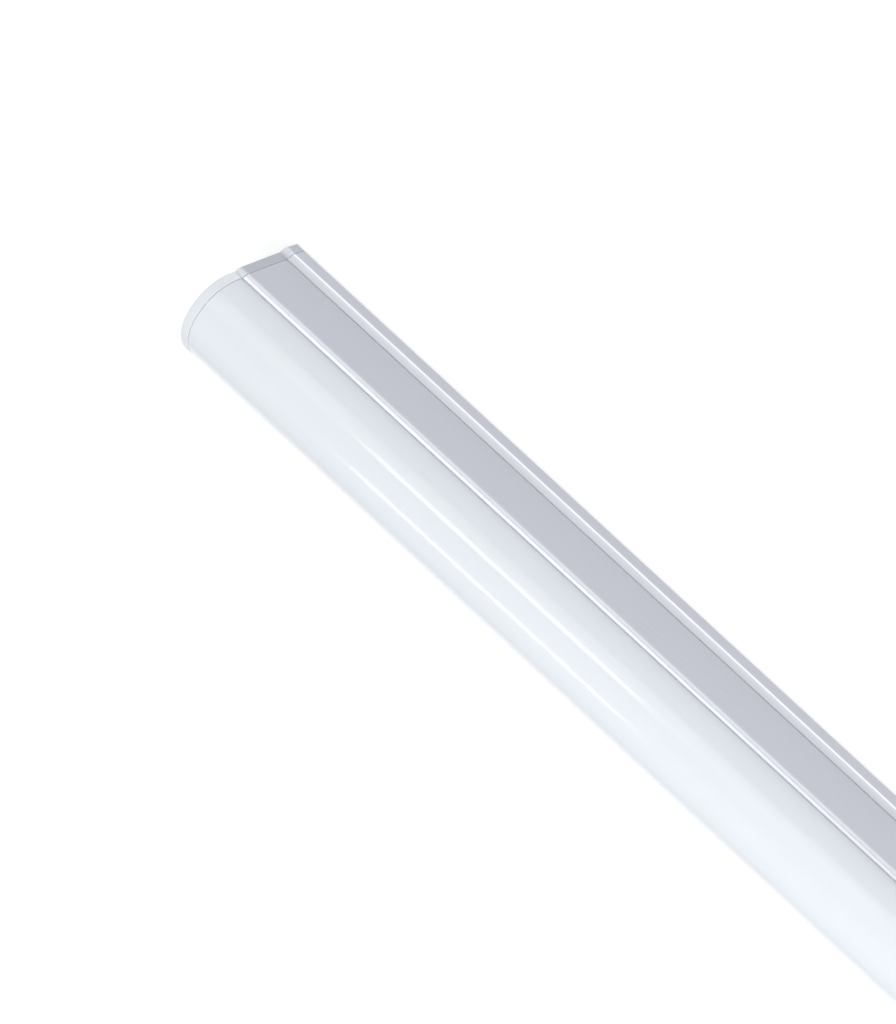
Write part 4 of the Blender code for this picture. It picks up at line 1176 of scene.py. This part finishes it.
tree, given, ends = new_tree(
    "wind_coil",
    ("Turns", "NodeSocketInt", 2),
    ("Step", "NodeSocketVector", None),
    ("Wire radius", "NodeSocketFloat", 0.0002),
    ("Material", "NodeSocketMaterial", None),
)
loops = add(tree, "GeometryNodeMeshToCurve", Mesh=given.outputs["Geometry"])
round_wire = add(tree, "GeometryNodeCurvePrimitiveCircle", Resolution=8, Radius=given.outputs["Wire radius"])
turn = add(tree, "GeometryNodeCurveToMesh", Curve=loops.outputs[0], Profile_Curve=round_wire.outputs[0])
places = add(tree, "GeometryNodeMeshLine", Count=given.outputs["Turns"], Offset=given.outputs["Step"])
wound = add(tree, "GeometryNodeInstanceOnPoints", Points=places.outputs[0], Instance=turn.outputs[0])
close_tree(tree, ends, wound.outputs[0], given.outputs["Material"])

WIRE = 0.2


def wind(name, node, axis, loop_at, layers, slot="copper_winding"):
    """Fills the box of a CAD winding with turns along an axis."""
    low, high = span(node, axis)
    turns = int((high - low) / (2 * WIRE))
    step = [0.0, 0.0, 0.0]
    step[axis] = (high - low - 2 * WIRE) / (turns - 1) * MM
    base = drawn_loops(name, [loop_at(low + WIRE, WIRE * (1 + 2 * layer)) for layer in range(layers)])
    values = {"Turns": turns, "Step": step, "Wire radius": WIRE * MM, "Material": finishes[slot]}
    hand_over(grown(name, base, tree, values), slot, node)
    print(name, turns, "turns in", layers, "layers")


def transformer_loop(x, inset):
    """Rounded rectangle round the core's middle leg."""
    y = span("transformer_winding", 1)[1] - inset
    low, high = span("transformer_winding", 2)
    low, high, corner = low + inset, high - inset, max(0.3, 1.0 - inset)
    loop = rounded([(y, low, corner), (y, high, corner), (-y, high, corner), (-y, low, corner)])
    return [(x, a, b) for a, b in loop]


def choke_loop(z, inset):
    """Circle round the choke's core."""
    left, right = span("input_choke_winding", 0)
    radius = (right - left) / 2 - inset
    loop = arc(((left + right) / 2, 0), radius, 0, 345, 15)
    return [(x, y, z) for x, y, _ in loop]


wind("transformer_turns", "transformer_winding", 0, transformer_loop, 3)
wind("choke_turns", "input_choke_winding", 2, choke_loop, 3)

# %% [markdown]
# ## The pieces that keep their modelled shape
#
# The boards, the driver's components, the wires and the earth tag have the right shape already. Each gets the
# finish of its own material slot.

# %% Dress the rest
for subpart in frame["record"]["subparts"]:
    obj = frame["nodes"][subpart["node"]]
    obj.data.materials.clear()
    obj.data.materials.append(finishes[subpart["material_slot"]])
print(len([o for o in frame["nodes"].values() if not o.hide_render]), "modelled pieces dressed")

# %% [markdown]
# ## Finish
#

# %% Finish
print("finished")
